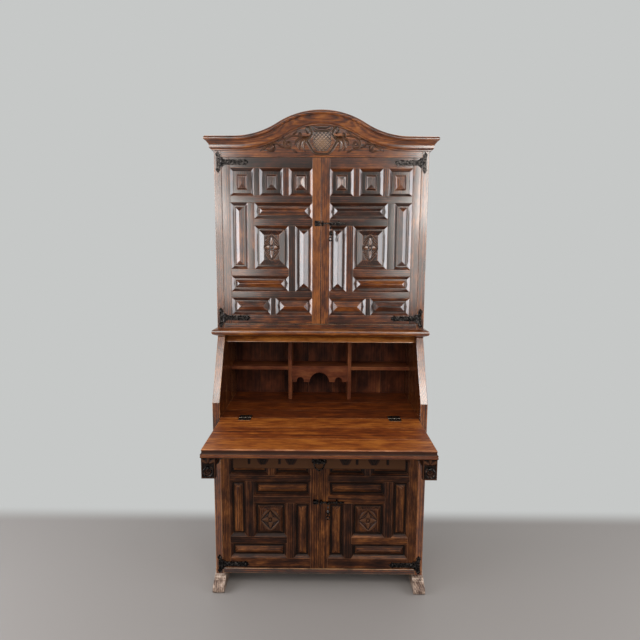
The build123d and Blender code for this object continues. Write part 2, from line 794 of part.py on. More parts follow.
# ---- lopers: an arm, a carved head, an eye and a ring ----
loper_in = 359
loper_outer = 408
head_z0 = 651.5
loper_z1 = bed_z0 - 0.5
head_front = lower_depth + loper_out
ring_tube = 2.25
ring_r = 15.75
eye_hole = 2.6
eye_tube = 1.2
eye_x = 383.5
eye_z = 694
rose_thick = 1.6
eye_d = head_front + rose_thick + eye_hole + 2 * eye_tube
for side in sides:
    span = sorted((side * loper_in, side * loper_outer))
    arm = board(*span, 24 + loper_out, head_front - loper_face, runner_top + 0.5, loper_z1)
    head = board(*span, head_front - loper_face, head_front, head_z0, loper_z1, 1.2)
    save([arm, head], sided("loper", side))
    with BuildPart() as eye:
        with BuildSketch(front_plane(head_front)):
            with Locations((side * eye_x, eye_z)):
                Circle(8)
        extrude(amount=rose_thick)
        with BuildSketch(front_plane(head_front)):
            with Locations((side * eye_x, eye_z)):
                Circle(2)
        extrude(amount=rose_thick + eye_tube)
        with Locations((side * eye_x, y_at(eye_d), eye_z)):
            Torus(eye_hole + eye_tube, eye_tube, rotation=(0, 90, 0))
    save([eye.part], sided("loper_eye", side))
    with BuildPart() as ring:
        with Locations((side * eye_x, y_at(eye_d), eye_z - ring_r)):
            Torus(ring_r, ring_tube, rotation=(90, 0, 0))
    save([ring.part], sided("loper_ring", side))

# ---- drawer between the lopers ----
drawer_half = guide_in - 1.5
drawer_z0 = 651.5
drawer_z1 = 737
drawer_front_d = lower_depth + drawer_out
drawer_face = 20
drawer_length = 391
drawer_side = 10
box_z0 = 655
box_z1 = 725
save([board(-drawer_half, drawer_half, drawer_front_d - drawer_face, drawer_front_d, drawer_z0, drawer_z1,
            1.2)], "drawer_front")
box_d0 = drawer_front_d - drawer_length
box_d1 = drawer_front_d - drawer_face
box_sides = [board(*sorted((side * (drawer_half - drawer_side), side * drawer_half)), box_d0, box_d1,
                   box_z0, box_z1) for side in sides]
box_inner = drawer_half - drawer_side
box_back = board(-box_inner, box_inner, box_d0, box_d0 + drawer_side, box_z0, box_z1)
box_bottom = board(-box_inner, box_inner, box_d0 + drawer_side, box_d1, box_z0, box_z0 + 6)
save(box_sides + [box_back, box_bottom], "drawer_box")

pull_z = 687
pull_stand = 6.5
pull_pin_r = 1.5
pull_bore_r = 1.56
pull_ear_gap = 4
with BuildPart() as pull_plate:
    with BuildSketch(front_plane(drawer_front_d)):
        with Locations((0, 683)):
            RectangleRounded(54, 22, 9)
    extrude(amount=2)
    for x in (-pull_ear_gap - 2, pull_ear_gap):
        block(x, x + 2, drawer_front_d, drawer_front_d + pull_stand + 2.5, pull_z - 3, pull_z + 3)
    with BuildSketch(side_plane(pull_ear_gap + 1)):
        with Locations((drawer_front_d + pull_stand, pull_z)):
            Circle(pull_pin_r)
    extrude(amount=2 * pull_ear_gap + 2)
save([pull_plate.part], "drawer_plate")

heart_top = pull_z - 3
lobe_r = 11
heart_bar = 5


def heart(lobe, drop):
    """A heart outline: two round lobes and a full, pointed lower part."""
    middle = heart_top - 11.5
    wide = 9.8 + lobe
    low = (wide * 0.72, middle - (drop - 11.5) * 0.58)
    for x in (-9.8, 9.8):
        with Locations((x, middle)):
            Circle(lobe)
    with BuildLine() as lower_part:
        ThreePointArc((wide, middle), low, (0, heart_top - drop))
        ThreePointArc((0, heart_top - drop), (-low[0], low[1]), (-wide, middle))
        Line((-wide, middle), (wide, middle))
    make_face(lower_part.edges())


with BuildPart() as drawer_pull:
    with BuildSketch(front_plane(drawer_front_d + pull_stand - heart_bar / 2)):
        heart(lobe_r, 38.5)
        with BuildSketch(mode=Mode.PRIVATE) as hollow:
            heart(lobe_r - 4.6, 33)
        add(hollow.sketch, mode=Mode.SUBTRACT)
    extrude(amount=heart_bar)
    with BuildSketch(side_plane(3.7)):
        with Locations((drawer_front_d + pull_stand, pull_z)):
            Circle(3.6)
    extrude(amount=7.4)
    block(-3.7, 3.7, drawer_front_d + pull_stand - heart_bar / 2, drawer_front_d + pull_stand + heart_bar / 2,
          pull_z - 11, pull_z)
    with BuildSketch(side_plane(5)):
        with Locations((drawer_front_d + pull_stand, pull_z)):
            Circle(pull_bore_r)
    extrude(amount=10, mode=Mode.SUBTRACT)
save([drawer_pull.part], "drawer_pull")
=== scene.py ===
import json
import math
import random

import bmesh
import bpy
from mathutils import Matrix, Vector

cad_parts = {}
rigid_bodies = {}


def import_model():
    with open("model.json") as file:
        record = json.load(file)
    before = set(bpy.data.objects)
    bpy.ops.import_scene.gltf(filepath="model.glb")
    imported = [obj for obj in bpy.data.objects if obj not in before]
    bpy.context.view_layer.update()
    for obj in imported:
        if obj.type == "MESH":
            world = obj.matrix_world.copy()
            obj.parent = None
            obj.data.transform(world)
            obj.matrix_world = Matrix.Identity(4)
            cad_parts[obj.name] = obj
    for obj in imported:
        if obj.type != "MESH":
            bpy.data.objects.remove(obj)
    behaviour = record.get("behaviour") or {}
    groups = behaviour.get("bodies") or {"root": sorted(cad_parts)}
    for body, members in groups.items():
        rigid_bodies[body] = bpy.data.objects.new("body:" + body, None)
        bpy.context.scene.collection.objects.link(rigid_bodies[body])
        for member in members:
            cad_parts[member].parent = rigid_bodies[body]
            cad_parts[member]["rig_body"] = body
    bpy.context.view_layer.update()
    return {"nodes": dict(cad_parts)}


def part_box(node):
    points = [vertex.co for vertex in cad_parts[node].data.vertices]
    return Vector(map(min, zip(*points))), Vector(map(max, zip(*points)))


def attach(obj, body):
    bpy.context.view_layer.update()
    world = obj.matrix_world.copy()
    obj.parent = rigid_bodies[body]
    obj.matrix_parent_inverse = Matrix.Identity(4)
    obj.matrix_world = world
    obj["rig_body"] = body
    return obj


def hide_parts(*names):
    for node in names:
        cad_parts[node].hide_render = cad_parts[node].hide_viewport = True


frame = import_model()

# Carved vargueno cabinet: stained walnut and pine, wrought iron fittings.
# In metres unless a table says millimetres, front towards -Y, floor at Z 0.

backFace = 0.3735          # y of the back of the case
upperDepth = 0.285         # from the back to the front of the upper case
caseHalf = 0.439           # from the middle to the outside of a side board
seed = 1764


def yAt(depth):
    # depth is counted from the back of the case
    return backFace - depth


def linearOf(hexColour):
    parts = [int(hexColour[i:i + 2], 16) / 255 for i in (1, 3, 5)]
    return tuple(c / 12.92 if c <= 0.04045 else ((c + 0.055) / 1.055) ** 2.4 for c in parts) + (1.0,)


def addNode(tree, kind, settings=None, links=None):
    node = tree.nodes.new(kind)
    for key, value in (settings or {}).items():
        if isinstance(key, int) or key in node.inputs:
            node.inputs[key].default_value = value
        else:
            setattr(node, key, value)
    for key, socket in (links or {}).items():
        tree.links.new(socket, node.inputs[key])
    return node


def setRamp(ramp, stops):
    elements = ramp.color_ramp.elements
    while len(elements) > 2:
        elements.remove(elements[-1])
    for i, (place, colour) in enumerate(stops):
        stop = elements[i] if i < 2 else elements.new(place)
        stop.position = place
        stop.color = linearOf(colour) if isinstance(colour, str) else (colour, colour, colour, 1)
    return ramp


def newMaterial(name):
    material = bpy.data.materials.new(name)
    material.use_nodes = True
    material.node_tree.nodes.clear()
    return material, material.node_tree


def finishTree(tree, shader):
    addNode(tree, "ShaderNodeOutputMaterial", links={"Surface": shader.outputs[0]})


# Wood is drawn from what each board carries: "grain" (along, across, through, in metres), "shade" (how
# deep in a moulding: painted shade there, with the dark stain that settles in it), "wearAndHighlight"
# (arrises rubbed by hands, with painted highlight on arrises and carved tops) and "tint" (board by board).
waveLength = 0.314         # spacing of the rings of a wave texture whose scale is 1


def woodFinish(name, look):
    material, tree = newMaterial(name)
    grain, shade, wearAndHighlight, tint = [addNode(tree, "ShaderNodeAttribute", {"attribute_name": carried})
                                for carried in ("grain", "shade", "wearAndHighlight", "tint")]
    # growth rings seen as long bands, wandering along the board
    ringPlace = addNode(tree, "ShaderNodeMapping", {"Scale": (look["ringStretch"], 1, 1)},
                        {"Vector": grain.outputs["Vector"]})
    rings = addNode(tree, "ShaderNodeTexWave",
                    {"wave_type": "RINGS", "rings_direction": "X", "Scale": waveLength / look["ringSpacing"],
                     "Distortion": look["ringWander"], "Detail": 3, "Detail Scale": 1.2,
                     "Detail Roughness": 0.6}, {"Vector": ringPlace.outputs[0]})
    # streaks of stain along the grain
    streakPlace = addNode(tree, "ShaderNodeMapping",
                          {"Scale": (look["streakStretch"] / look["streakWidth"], 1 / look["streakWidth"],
                                     1 / look["streakWidth"])}, {"Vector": grain.outputs["Vector"]})
    streaks = addNode(tree, "ShaderNodeTexNoise", {"Scale": 1.0, "Detail": 5, "Roughness": 0.62,
                                                   "Distortion": 0.3}, {"Vector": streakPlace.outputs[0]})
    # clouds where the stain took unevenly
    cloudPlace = addNode(tree, "ShaderNodeMapping",
                         {"Scale": (0.5 / look["cloudWidth"], 1 / look["cloudWidth"],
                                    1 / look["cloudWidth"])}, {"Vector": grain.outputs["Vector"]})
    clouds = addNode(tree, "ShaderNodeTexNoise", {"Scale": 1.0, "Detail": 3, "Roughness": 0.55},
                     {"Vector": cloudPlace.outputs[0]})
    # open pores, about 1 mm wide and 20 mm long, drawn coarser than real ones so that they show
    porePlace = addNode(tree, "ShaderNodeMapping", {"Scale": (45, 800, 800)},
                        {"Vector": grain.outputs["Vector"]})
    pores = addNode(tree, "ShaderNodeTexNoise", {"Scale": 1.0, "Detail": 2, "Roughness": 0.5},
                    {"Vector": porePlace.outputs[0]})
    # each board took the stain a little darker or lighter; the desk top is drawn lighter as painted light and
    # the desk bed darker as painted shade
    tintPart = addNode(tree, "ShaderNodeMath", {"operation": "MULTIPLY", 1: look["tintShare"]},
                       {0: tint.outputs["Fac"]})
    ringPart = addNode(tree, "ShaderNodeMath", {"operation": "MULTIPLY_ADD", 1: look["ringShare"]},
                       {0: rings.outputs["Fac"], 2: tintPart.outputs[0]})
    streakPart = addNode(tree, "ShaderNodeMath", {"operation": "MULTIPLY_ADD", 1: look["streakShare"]},
                         {0: streaks.outputs["Fac"], 2: ringPart.outputs[0]})
    figure = addNode(tree, "ShaderNodeMath", {"operation": "MULTIPLY_ADD", 1: look["cloudShare"]},
                     {0: clouds.outputs["Fac"], 2: streakPart.outputs[0]})
    tone = setRamp(addNode(tree, "ShaderNodeValToRGB", links={0: figure.outputs[0]}), look["tones"])
    poreDark = setRamp(addNode(tree, "ShaderNodeValToRGB", links={0: pores.outputs["Fac"]}),
                       [(0.36, look["poreDark"]), (0.52, 1.0)])
    pored = addNode(tree, "ShaderNodeMix", {"data_type": "RGBA", "blend_type": "MULTIPLY", 0: 1.0},
                    {6: tone.outputs["Color"], 7: poreDark.outputs["Color"]})
    # painted shade and dark stain in the grooves, uneven at its edge
    grooveEdge = addNode(tree, "ShaderNodeMath", {"operation": "MULTIPLY_ADD", 1: 0.5, 2: -0.25},
                         {0: streaks.outputs["Fac"]})
    grooveSum = addNode(tree, "ShaderNodeMath", {"operation": "ADD"},
                        {0: shade.outputs["Fac"], 1: grooveEdge.outputs[0]})
    grooveAmount = setRamp(addNode(tree, "ShaderNodeValToRGB", links={0: grooveSum.outputs[0]}),
                           [(0.45, 0.0), (0.97, look["grooveAmount"])])
    grooved = addNode(tree, "ShaderNodeMix", {"data_type": "RGBA", "blend_type": "MIX",
                                              7: linearOf(look["grooveColour"])},
                      {0: grooveAmount.outputs["Color"], 6: pored.outputs[2]})
    # rubbed arrises, with painted highlight on arrises and on the tops of carving
    wearAndHighlightBreak = setRamp(addNode(tree, "ShaderNodeValToRGB", links={0: clouds.outputs["Fac"]}),
                        [(0.38, 0.15), (0.62, look["wearAndHighlightAmount"])])
    wearAndHighlightAmount = addNode(tree, "ShaderNodeMath", {"operation": "MULTIPLY"},
                         {0: wearAndHighlight.outputs["Fac"], 1: wearAndHighlightBreak.outputs["Color"]})
    rubbedAndLit = addNode(tree, "ShaderNodeMix", {"data_type": "RGBA", "blend_type": "MIX",
                                             7: linearOf(look["wearAndHighlightColour"])},
                     {0: wearAndHighlightAmount.outputs[0], 6: grooved.outputs[2]})
    # polish lies fuller between the pores
    gloss = addNode(tree, "ShaderNodeMapRange", {"From Min": 0.3, "From Max": 0.7,
                                                 "To Min": look["roughness"] + look["patchy"],
                                                 "To Max": look["roughness"] - look["patchy"]},
                    {"Value": streaks.outputs["Fac"]})
    # shallow hollows left by the plane, a few centimetres long
    planed = addNode(tree, "ShaderNodeMapping", {"Scale": (14, 42, 42)}, {"Vector": grain.outputs["Vector"]})
    hollows = addNode(tree, "ShaderNodeTexNoise", {"Scale": 1.0, "Detail": 1, "Roughness": 0.4},
                      {"Vector": planed.outputs[0]})
    planeMarks = addNode(tree, "ShaderNodeBump", {"Strength": look["planing"], "Distance": 0.003},
                         {"Height": hollows.outputs["Fac"]})
    relief = addNode(tree, "ShaderNodeMath", {"operation": "MULTIPLY_ADD", 1: 0.35},
                     {0: pores.outputs["Fac"], 2: streaks.outputs["Fac"]})
    bump = addNode(tree, "ShaderNodeBump", {"Strength": look["bump"], "Distance": 0.0012},
                   {"Height": relief.outputs[0], "Normal": planeMarks.outputs[0]})
    wood = addNode(tree, "ShaderNodeBsdfPrincipled",
                   {"IOR": look["ior"], "Coat Weight": look["wax"], "Coat Roughness": look["waxRoughness"],
                    "Coat IOR": look["waxIor"]},
                   {"Base Color": rubbedAndLit.outputs[2], "Roughness": gloss.outputs[0],
                    "Normal": bump.outputs[0]})
    finishTree(tree, wood)
    return material


# Walnut of the upper doors, planed and stained nearly black-brown, then waxed and polished: dark, with warm
# streaks where the polish has rubbed through, and a full gloss that flashes on the bevels
doorWalnut = woodFinish("stainedDoorWalnut", {
    "ringSpacing": 0.006, "ringStretch": 0.06, "ringWander": 5.0, "ringShare": 0.12,
    "streakWidth": 0.007, "streakStretch": 0.2, "streakShare": 0.26,
    "cloudWidth": 0.03, "cloudShare": 0.38, "tintShare": 0.16,
    "tones": [(0.37, "#190905"), (0.47, "#37190c"), (0.55, "#582b14"), (0.68, "#8f5320")],
    "poreDark": 0.6, "grooveColour": "#070302", "grooveAmount": 0.97,
    "wearAndHighlightColour": "#9a6238", "wearAndHighlightAmount": 0.45,
    "ior": 1.38, "roughness": 0.34, "patchy": 0.06, "bump": 0.25, "planing": 0.22,
    "wax": 1.0, "waxRoughness": 0.16, "waxIor": 1.75})

# Lower doors and loper arms, the same walnut stained deeper and left dull
lowWalnut = woodFinish("stainedLowerWalnut", {
    "ringSpacing": 0.006, "ringStretch": 0.06, "ringWander": 5.0, "ringShare": 0.12,
    "streakWidth": 0.007, "streakStretch": 0.2, "streakShare": 0.28,
    "cloudWidth": 0.04, "cloudShare": 0.42, "tintShare": 0.16,
    "tones": [(0.37, "#190a05"), (0.47, "#351a0d"), (0.55, "#532e16"), (0.68, "#875228")],
    "poreDark": 0.6, "grooveColour": "#050202", "grooveAmount": 0.97,
    "wearAndHighlightColour": "#80563a", "wearAndHighlightAmount": 0.5,
    "ior": 1.25, "roughness": 0.5, "patchy": 0.08, "bump": 0.25, "planing": 0.22,
    "wax": 0.1, "waxRoughness": 0.2, "waxIor": 1.5})

# Pine writing boards, sanded and varnished: redder and lighter, with long fine figure
deskPine = woodFinish("varnishedDeskPine", {
    "ringSpacing": 0.005, "ringStretch": 0.035, "ringWander": 5.0, "ringShare": 0.12,
    "streakWidth": 0.007, "streakStretch": 0.12, "streakShare": 0.54,
    "cloudWidth": 0.04, "cloudShare": 0.3, "tintShare": 0.14,
    "tones": [(0.37, "#411b09"), (0.46, "#652d0c"), (0.54, "#7d3c11"), (0.66, "#a86325")],
    "poreDark": 0.6, "grooveColour": "#160a05", "grooveAmount": 0.9,
    "wearAndHighlightColour": "#b98560", "wearAndHighlightAmount": 0.7,
    "ior": 1.4, "roughness": 0.46, "patchy": 0.08, "bump": 0.25, "planing": 0.16,
    "wax": 0.0, "waxRoughness": 0.25, "waxIor": 1.5})

# Side boards, mouldings and crest, stained pine: orange-brown with honey edges, worn and painted as
# highlight, polished
casePine = woodFinish("stainedCasePine", {
    "ringSpacing": 0.007, "ringStretch": 0.05, "ringWander": 5.0, "ringShare": 0.12,
    "streakWidth": 0.007, "streakStretch": 0.2, "streakShare": 0.28,
    "cloudWidth": 0.04, "cloudShare": 0.38, "tintShare": 0.12,
    "tones": [(0.35, "#280f06"), (0.44, "#52250b"), (0.53, "#7a4013"), (0.67, "#a8692d")],
    "poreDark": 0.62, "grooveColour": "#120804", "grooveAmount": 0.92,
    "wearAndHighlightColour": "#b98a5c", "wearAndHighlightAmount": 0.6,
    "ior": 1.3, "roughness": 0.36, "patchy": 0.06, "bump": 0.25, "planing": 0.22,
    "wax": 1.0, "waxRoughness": 0.17, "waxIor": 1.75})

# Drawer front and loper heads, pine stained orange-brown and left without wax, so that the grain shows
frontPine = woodFinish("unwaxedFrontPine", {
    "ringSpacing": 0.006, "ringStretch": 0.05, "ringWander": 5.0, "ringShare": 0.12,
    "streakWidth": 0.006, "streakStretch": 0.12, "streakShare": 0.36,
    "cloudWidth": 0.03, "cloudShare": 0.46, "tintShare": 0.04,
    "tones": [(0.42, "#2e1508"), (0.51, "#562a10"), (0.60, "#744016"), (0.74, "#a0662d")],
    "poreDark": 0.6, "grooveColour": "#0d0603", "grooveAmount": 0.95,
    "wearAndHighlightColour": "#a87448", "wearAndHighlightAmount": 0.4,
    "ior": 1.3, "roughness": 0.6, "patchy": 0.05, "bump": 0.25, "planing": 0.1,
    "wax": 0.0, "waxRoughness": 0.3, "waxIor": 1.5})

# Back and inside boards, stained but hardly polished: dull reddish brown in uneven patches
insideBoards = woodFinish("plainInsideBoards", {
    "ringSpacing": 0.008, "ringStretch": 0.05, "ringWander": 5.0, "ringShare": 0.04,
    "streakWidth": 0.012, "streakStretch": 0.1, "streakShare": 0.1,
    "cloudWidth": 0.05, "cloudShare": 0.45, "tintShare": 0.1,
    "tones": [(0.255, "#260d08"), (0.345, "#432012"), (0.425, "#5d2f1b"), (0.565, "#804c2c")],
    "poreDark": 0.7, "grooveColour": "#120804", "grooveAmount": 0.9,
    "wearAndHighlightColour": "#6a4630", "wearAndHighlightAmount": 0.4,
    "ior": 1.25, "roughness": 0.5, "patchy": 0.08, "bump": 0.25, "planing": 0.12,
    "wax": 0.0, "waxRoughness": 0.3, "waxIor": 1.5})

# Feet scuffed through the stain to pale bare wood
footWood = woodFinish("scuffedFootWood", {
    "ringSpacing": 0.008, "ringStretch": 0.08, "ringWander": 4.0, "ringShare": 0.08,
    "streakWidth": 0.008, "streakStretch": 0.2, "streakShare": 0.3,
    "cloudWidth": 0.018, "cloudShare": 0.6, "tintShare": 0.16,
    "tones": [(0.44, "#544039"), (0.53, "#856f60"), (0.61, "#aa9484"), (0.74, "#c8b6a8")],
    "poreDark": 0.7, "grooveColour": "#2a1810", "grooveAmount": 0.9,
    "wearAndHighlightColour": "#d0bfae", "wearAndHighlightAmount": 0.8,
    "ior": 1.45, "roughness": 0.55, "patchy": 0.05, "bump": 0.4, "planing": 0.3,
    "wax": 0.0, "waxRoughness": 0.3, "waxIor": 1.5})


def ironFinish(name, look):
    material, tree = newMaterial(name)
    place = addNode(tree, "ShaderNodeTexCoord")
    # hammer marks, one every few millimetres
    marks = addNode(tree, "ShaderNodeTexVoronoi", {"feature": "SMOOTH_F1", "Scale": 1 / look["hammerMark"]},
                    {"Vector": place.outputs["Object"]})
    scale = addNode(tree, "ShaderNodeTexNoise", {"Scale": 1 / look["scaleGrain"], "Detail": 4},
                    {"Vector": place.outputs["Object"]})
    tone = setRamp(addNode(tree, "ShaderNodeValToRGB", links={0: scale.outputs["Fac"]}), look["tones"])
    gloss = addNode(tree, "ShaderNodeMapRange", {"From Min": 0.3, "From Max": 0.7,
                                                 "To Min": look["roughness"] - 0.1,
                                                 "To Max": look["roughness"] + 0.12},
                    {"Value": scale.outputs["Fac"]})
    height = addNode(tree, "ShaderNodeMath", {"operation": "MULTIPLY_ADD", 1: 0.25},
                     {0: scale.outputs["Fac"], 2: marks.outputs["Distance"]})
    bump = addNode(tree, "ShaderNodeBump", {"Strength": look["bump"], "Distance": 0.002},
                   {"Height": height.outputs[0]})
    iron = addNode(tree, "ShaderNodeBsdfPrincipled", {"Metallic": 1.0},
                   {"Base Color": tone.outputs["Color"], "Roughness": gloss.outputs[0],
                    "Normal": bump.outputs[0]})
    finishTree(tree, iron)
    return material


# Forged iron, burnt in oil and handled since: dark grey-brown that shines pale on the hammer marks
blackIron = ironFinish("oilBurntIron", {
    "hammerMark": 0.007, "scaleGrain": 0.006, "roughness": 0.28, "bump": 0.4,
    "tones": [(0.40, "#191818"), (0.58, "#3a3736"), (0.76, "#756f6a")]})

# Rolled steel butt hinges, worn bright with a little tarnish
hingeSteel = ironFinish("rolledHingeSteel", {
    "hammerMark": 0.02, "scaleGrain": 0.004, "roughness": 0.3, "bump": 0.15,
    "tones": [(0.35, "#5a544c"), (0.6, "#8e877d"), (0.8, "#b9b3a9")]})

print("materials made")


def solidsOf(node):
    # a run of faces is one solid as soon as none of its edges is left open
    mesh = frame["nodes"][node].data
    places = [tuple(round(c, 6) for c in v.co) for v in mesh.vertices]
    openEdges, faces, solids = set(), [], []
    for polygon in mesh.polygons:
        corners = [places[i] for i in polygon.vertices]
        for a, b in zip(corners, corners[1:] + corners[:1]):
            if (b, a) in openEdges:
                openEdges.remove((b, a))
            else:
                openEdges.add((a, b))
        faces.append(corners)
        if not openEdges:
            solids.append(faces)
            faces = []
    return solids


def spanOf(faces):
    # the lowest and the highest corner of one solid
    corners = [corner for face in faces for corner in face]
    return [min(c[i] for c in corners) for i in range(3)], [max(c[i] for c in corners) for i in range(3)]


def meshOfSolid(faces):
    piece = bmesh.new()
    made = {}
    for corners in faces:
        for place in corners:
            if place not in made:
                made[place] = piece.verts.new(place)
        if len(set(corners)) == len(corners):
            try:
                piece.faces.new([made[place] for place in corners])
            except ValueError:
                pass                       # the same sliver twice
    flat = math.radians(0.6)               # facets closer in angle than this become one face
    bmesh.ops.dissolve_limit(piece, angle_limit=flat, verts=piece.verts[:], edges=piece.edges[:])
    bmesh.ops.recalc_face_normals(piece, faces=piece.faces[:])
    return piece


def cutAlong(piece, axis, places):
    # saws one board into glued strips, each closed again
    strips = [piece]
    normal = Vector([1.0 if i == axis else 0.0 for i in range(3)])
    for place in sorted(places):
        last = strips.pop()
        other = last.copy()
        for half, keepLow in ((last, True), (other, False)):
            bmesh.ops.bisect_plane(half, geom=half.verts[:] + half.edges[:] + half.faces[:],
                                   plane_co=normal * place, plane_no=normal,
                                   clear_outer=keepLow, clear_inner=not keepLow)
            openEdges = [e for e in half.edges if e.is_boundary]
            if openEdges:
                bmesh.ops.holes_fill(half, edges=openEdges)
            strips.append(half)
    return [s for s in strips if s.faces]


def easeArrises(piece, width, sharpest):
    # rounds every edge that is sharper than an angle and long enough to hold the round
    piece.normal_update()
    shortest = 2.2 * width
    arrises = [e for e in piece.edges if len(e.link_faces) == 2
               and e.calc_face_angle(0.0) > sharpest and e.calc_length() > shortest]
    if not arrises or not width:
        return set()
    made = bmesh.ops.bevel(piece, geom=arrises, offset=width, offset_type="OFFSET", segments=2,
                           profile=0.5, affect="EDGES", clamp_overlap=True)
    return set(made["faces"])


def markBoard(piece, axis, dice, wornAndLit, shadeOf, tintOf, wearAndHighlightOf):
    # writes grain, shade, wear with painted highlight, and tint on every corner of one board
    low = [min(v.co[i] for v in piece.verts) for i in range(3)]
    high = [max(v.co[i] for v in piece.verts) for i in range(3)]
    size = [h - l for l, h in zip(low, high)]
    if axis is None:
        axis = size.index(max(size))
    across = [i for i in range(3) if i != axis]
    across.sort(key=lambda i: -size[i])
    mid = [(l + h) / 2 for l, h in zip(low, high)]
    shift = (dice.uniform(-9, 9), dice.uniform(-0.05, 0.05), dice.uniform(0.02, 0.09))
    grain = piece.loops.layers.float_vector.new("grain")
    shade = piece.loops.layers.float.new("shade")
    wearAndHighlight = piece.loops.layers.float.new("wearAndHighlight")
    tint = piece.loops.layers.float.new("tint")
    boardTint = tintOf(mid, size, dice) if tintOf else dice.random()
    for face in piece.faces:
        rubbedAndLit = 1.0 if face in wornAndLit else 0.0
        for loop in face.loops:
            co = loop.vert.co
            loop[grain] = (co[axis] + shift[0], co[across[0]] - mid[across[0]] + shift[1],
                           co[across[1]] - mid[across[1]] + shift[2])
            loop[shade] = shadeOf(co, face.normal) if shadeOf else 0.0
            loop[wearAndHighlight] = max(rubbedAndLit, wearAndHighlightOf(co)) if wearAndHighlightOf else rubbedAndLit
            loop[tint] = boardTint


def finishPiece(name, mesh, material, body, slotName, replaced=(), smoothAngle=40):
    mesh.materials.append(material)
    mesh.polygons.foreach_set("use_smooth", [True] * len(mesh.polygons))
    mesh.set_sharp_from_angle(angle=math.radians(smoothAngle))
    piece = bpy.data.objects.new(name, mesh)
    bpy.context.scene.collection.objects.link(piece)
    weighted = piece.modifiers.new("evenNormals", "WEIGHTED_NORMAL")
    weighted.keep_sharp = True
    if replaced:
        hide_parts(*replaced)
    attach(piece, body)


def boardPiece(name, node, material, slotName="stained_wood", *, ease, axis=None, cuts=None,
               shadeOf=None, tintOf=None, wearAndHighlightOf=None, sharpest=22, leaveOut=()):
    dice = random.Random(f"{seed} {node}")
    whole = bpy.data.meshes.new(name)
    total = bmesh.new()
    solids = solidsOf(node)
    left = [i % len(solids) for i in leaveOut]
    for i, faces in enumerate(solids):
        if i in left:
            continue
        piece = meshOfSolid(faces)
        for strip in (cutAlong(piece, *cuts) if cuts else [piece]):
            wornAndLit = easeArrises(strip, ease, math.radians(sharpest))
            markBoard(strip, axis, dice, wornAndLit, shadeOf, tintOf, wearAndHighlightOf)
            part = bpy.data.meshes.new("part")
            strip.to_mesh(part)
            total.from_mesh(part)
            bpy.data.meshes.remove(part)
            strip.free()
    total.to_mesh(whole)
    total.free()
    finishPiece(name, whole, material, frame["nodes"][node]["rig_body"], slotName, (node,))


def bell(t):
    # 1 at t = 0, 0 from t = 1 on, smooth between
    t = min(1.0, abs(t))
    return 1 - t * t * (3 - 2 * t)


def deep(front, lightTo, darkFrom):
    # shade that is 0 at one depth behind the face of a door and 1 at a second, deeper one; the plain back
    # has none
    facingBack = 0.7

    def shadeOf(co, normal):
        return 0.0 if normal.y > facingBack else (co.y - front - lightTo) / (darkFrom - lightTo)
    return shadeOf


def paleBoardAndPaintedLight(mid, size, dice):
    # past the lightest of the boards that are drawn at random, which reach 1; on the desk top this is painted
    # light
    return 1.7


def fieldTint(low, high):
    def tintOf(mid, size, dice):
        return dice.uniform(low, high)
    return tintOf


# painted shade on the cornice: how far each shaded band stands out from the case, and its half width
corniceLook = {"quirk": (0.0235, 0.0042), "foot": (0.0005, 0.003)}


def beadShadeBands(axis, front):
    # painted shade in the quirk under the bead of the cornice and at its foot
    def shadeOf(co, normal):
        reach = (front - co[axis]) if axis == 1 else abs(co[axis]) - front
        return max(bell((reach - middle) / half) for middle, half in corniceLook.values())
    return shadeOf


# edging of the fall, by height above the floor: top arris worn and painted with a highlight, hollow painted
# with shade, bead painted with less shade, underside painted with shade
edgingLook = {"hollowTop": 0.7562, "beadTop": 0.7412, "beadFoot": 0.7325, "wornAndLit": (0.7575, 0.7599),
              "hollowStain": 0.95, "beadStain": 0.7}


def edgingPaintedShade(co, normal):
    # painted shade: the hollow and the underside dark, the bead less so
    if co.z > edgingLook["hollowTop"]:
        return 0.0
    onBead = edgingLook["beadFoot"] <= co.z <= edgingLook["beadTop"]
    return edgingLook["beadStain"] if onBead else edgingLook["hollowStain"]


def edgingHighlightAndWear(co):
    # the top arris is worn and painted with a highlight
    low, high = edgingLook["wornAndLit"]
    return 1.0 if low < co.z < high else 0.0


def innerPaintedShade(co, normal):
    # painted shade: the inner faces of the side boards are drawn darker than the outside of the case, for the
    # shade inside it
    facingSide, innerHalf = 0.9, 0.4095
    return 0.8 if abs(normal.x) > facingSide and abs(co.x) < innerHalf else 0.0


# the case: every board under its node's name, with its grain axis, glue lines (axis and places) and the
# round of its arrises
caseBoards = {
    "lower_side_left": {"axis": 2, "cuts": (1, (yAt(0.275), yAt(0.14))), "ease": 0.0022,
                        "shadeOf": innerPaintedShade},
    "lower_side_right": {"axis": 2, "cuts": (1, (yAt(0.285), yAt(0.15))), "ease": 0.0022,
                         "shadeOf": innerPaintedShade},
    "upper_side_left": {"axis": 2, "cuts": (1, (yAt(0.15),)), "ease": 0.0016},
    "upper_side_right": {"axis": 2, "cuts": (1, (yAt(0.14),)), "ease": 0.0016},
    # painted light: the front of the desk top, under the waist moulding, is drawn lighter as if lit
    "desk_top": {"axis": 0, "ease": 0.0025, "tintOf": paleBoardAndPaintedLight},
    "upper_bottom": {"axis": 0, "ease": 0.0015},
    "waist_moulding": {"ease": 0.0012, "tintOf": fieldTint(0.6, 0.9)},
    "frieze_board": {"axis": 0, "ease": 0.0006},
    "cornice_front": {"axis": 0, "ease": 0.0, "tintOf": fieldTint(0.8, 1.0),
                      "shadeOf": beadShadeBands(1, yAt(upperDepth))},
    "cornice_return_left": {"axis": 1, "ease": 0.0, "shadeOf": beadShadeBands(0, caseHalf)},
    "cornice_return_right": {"axis": 1, "ease": 0.0, "shadeOf": beadShadeBands(0, caseHalf)},
}
for node, board in caseBoards.items():
    boardPiece(node + "_wood", node, casePine, **board)

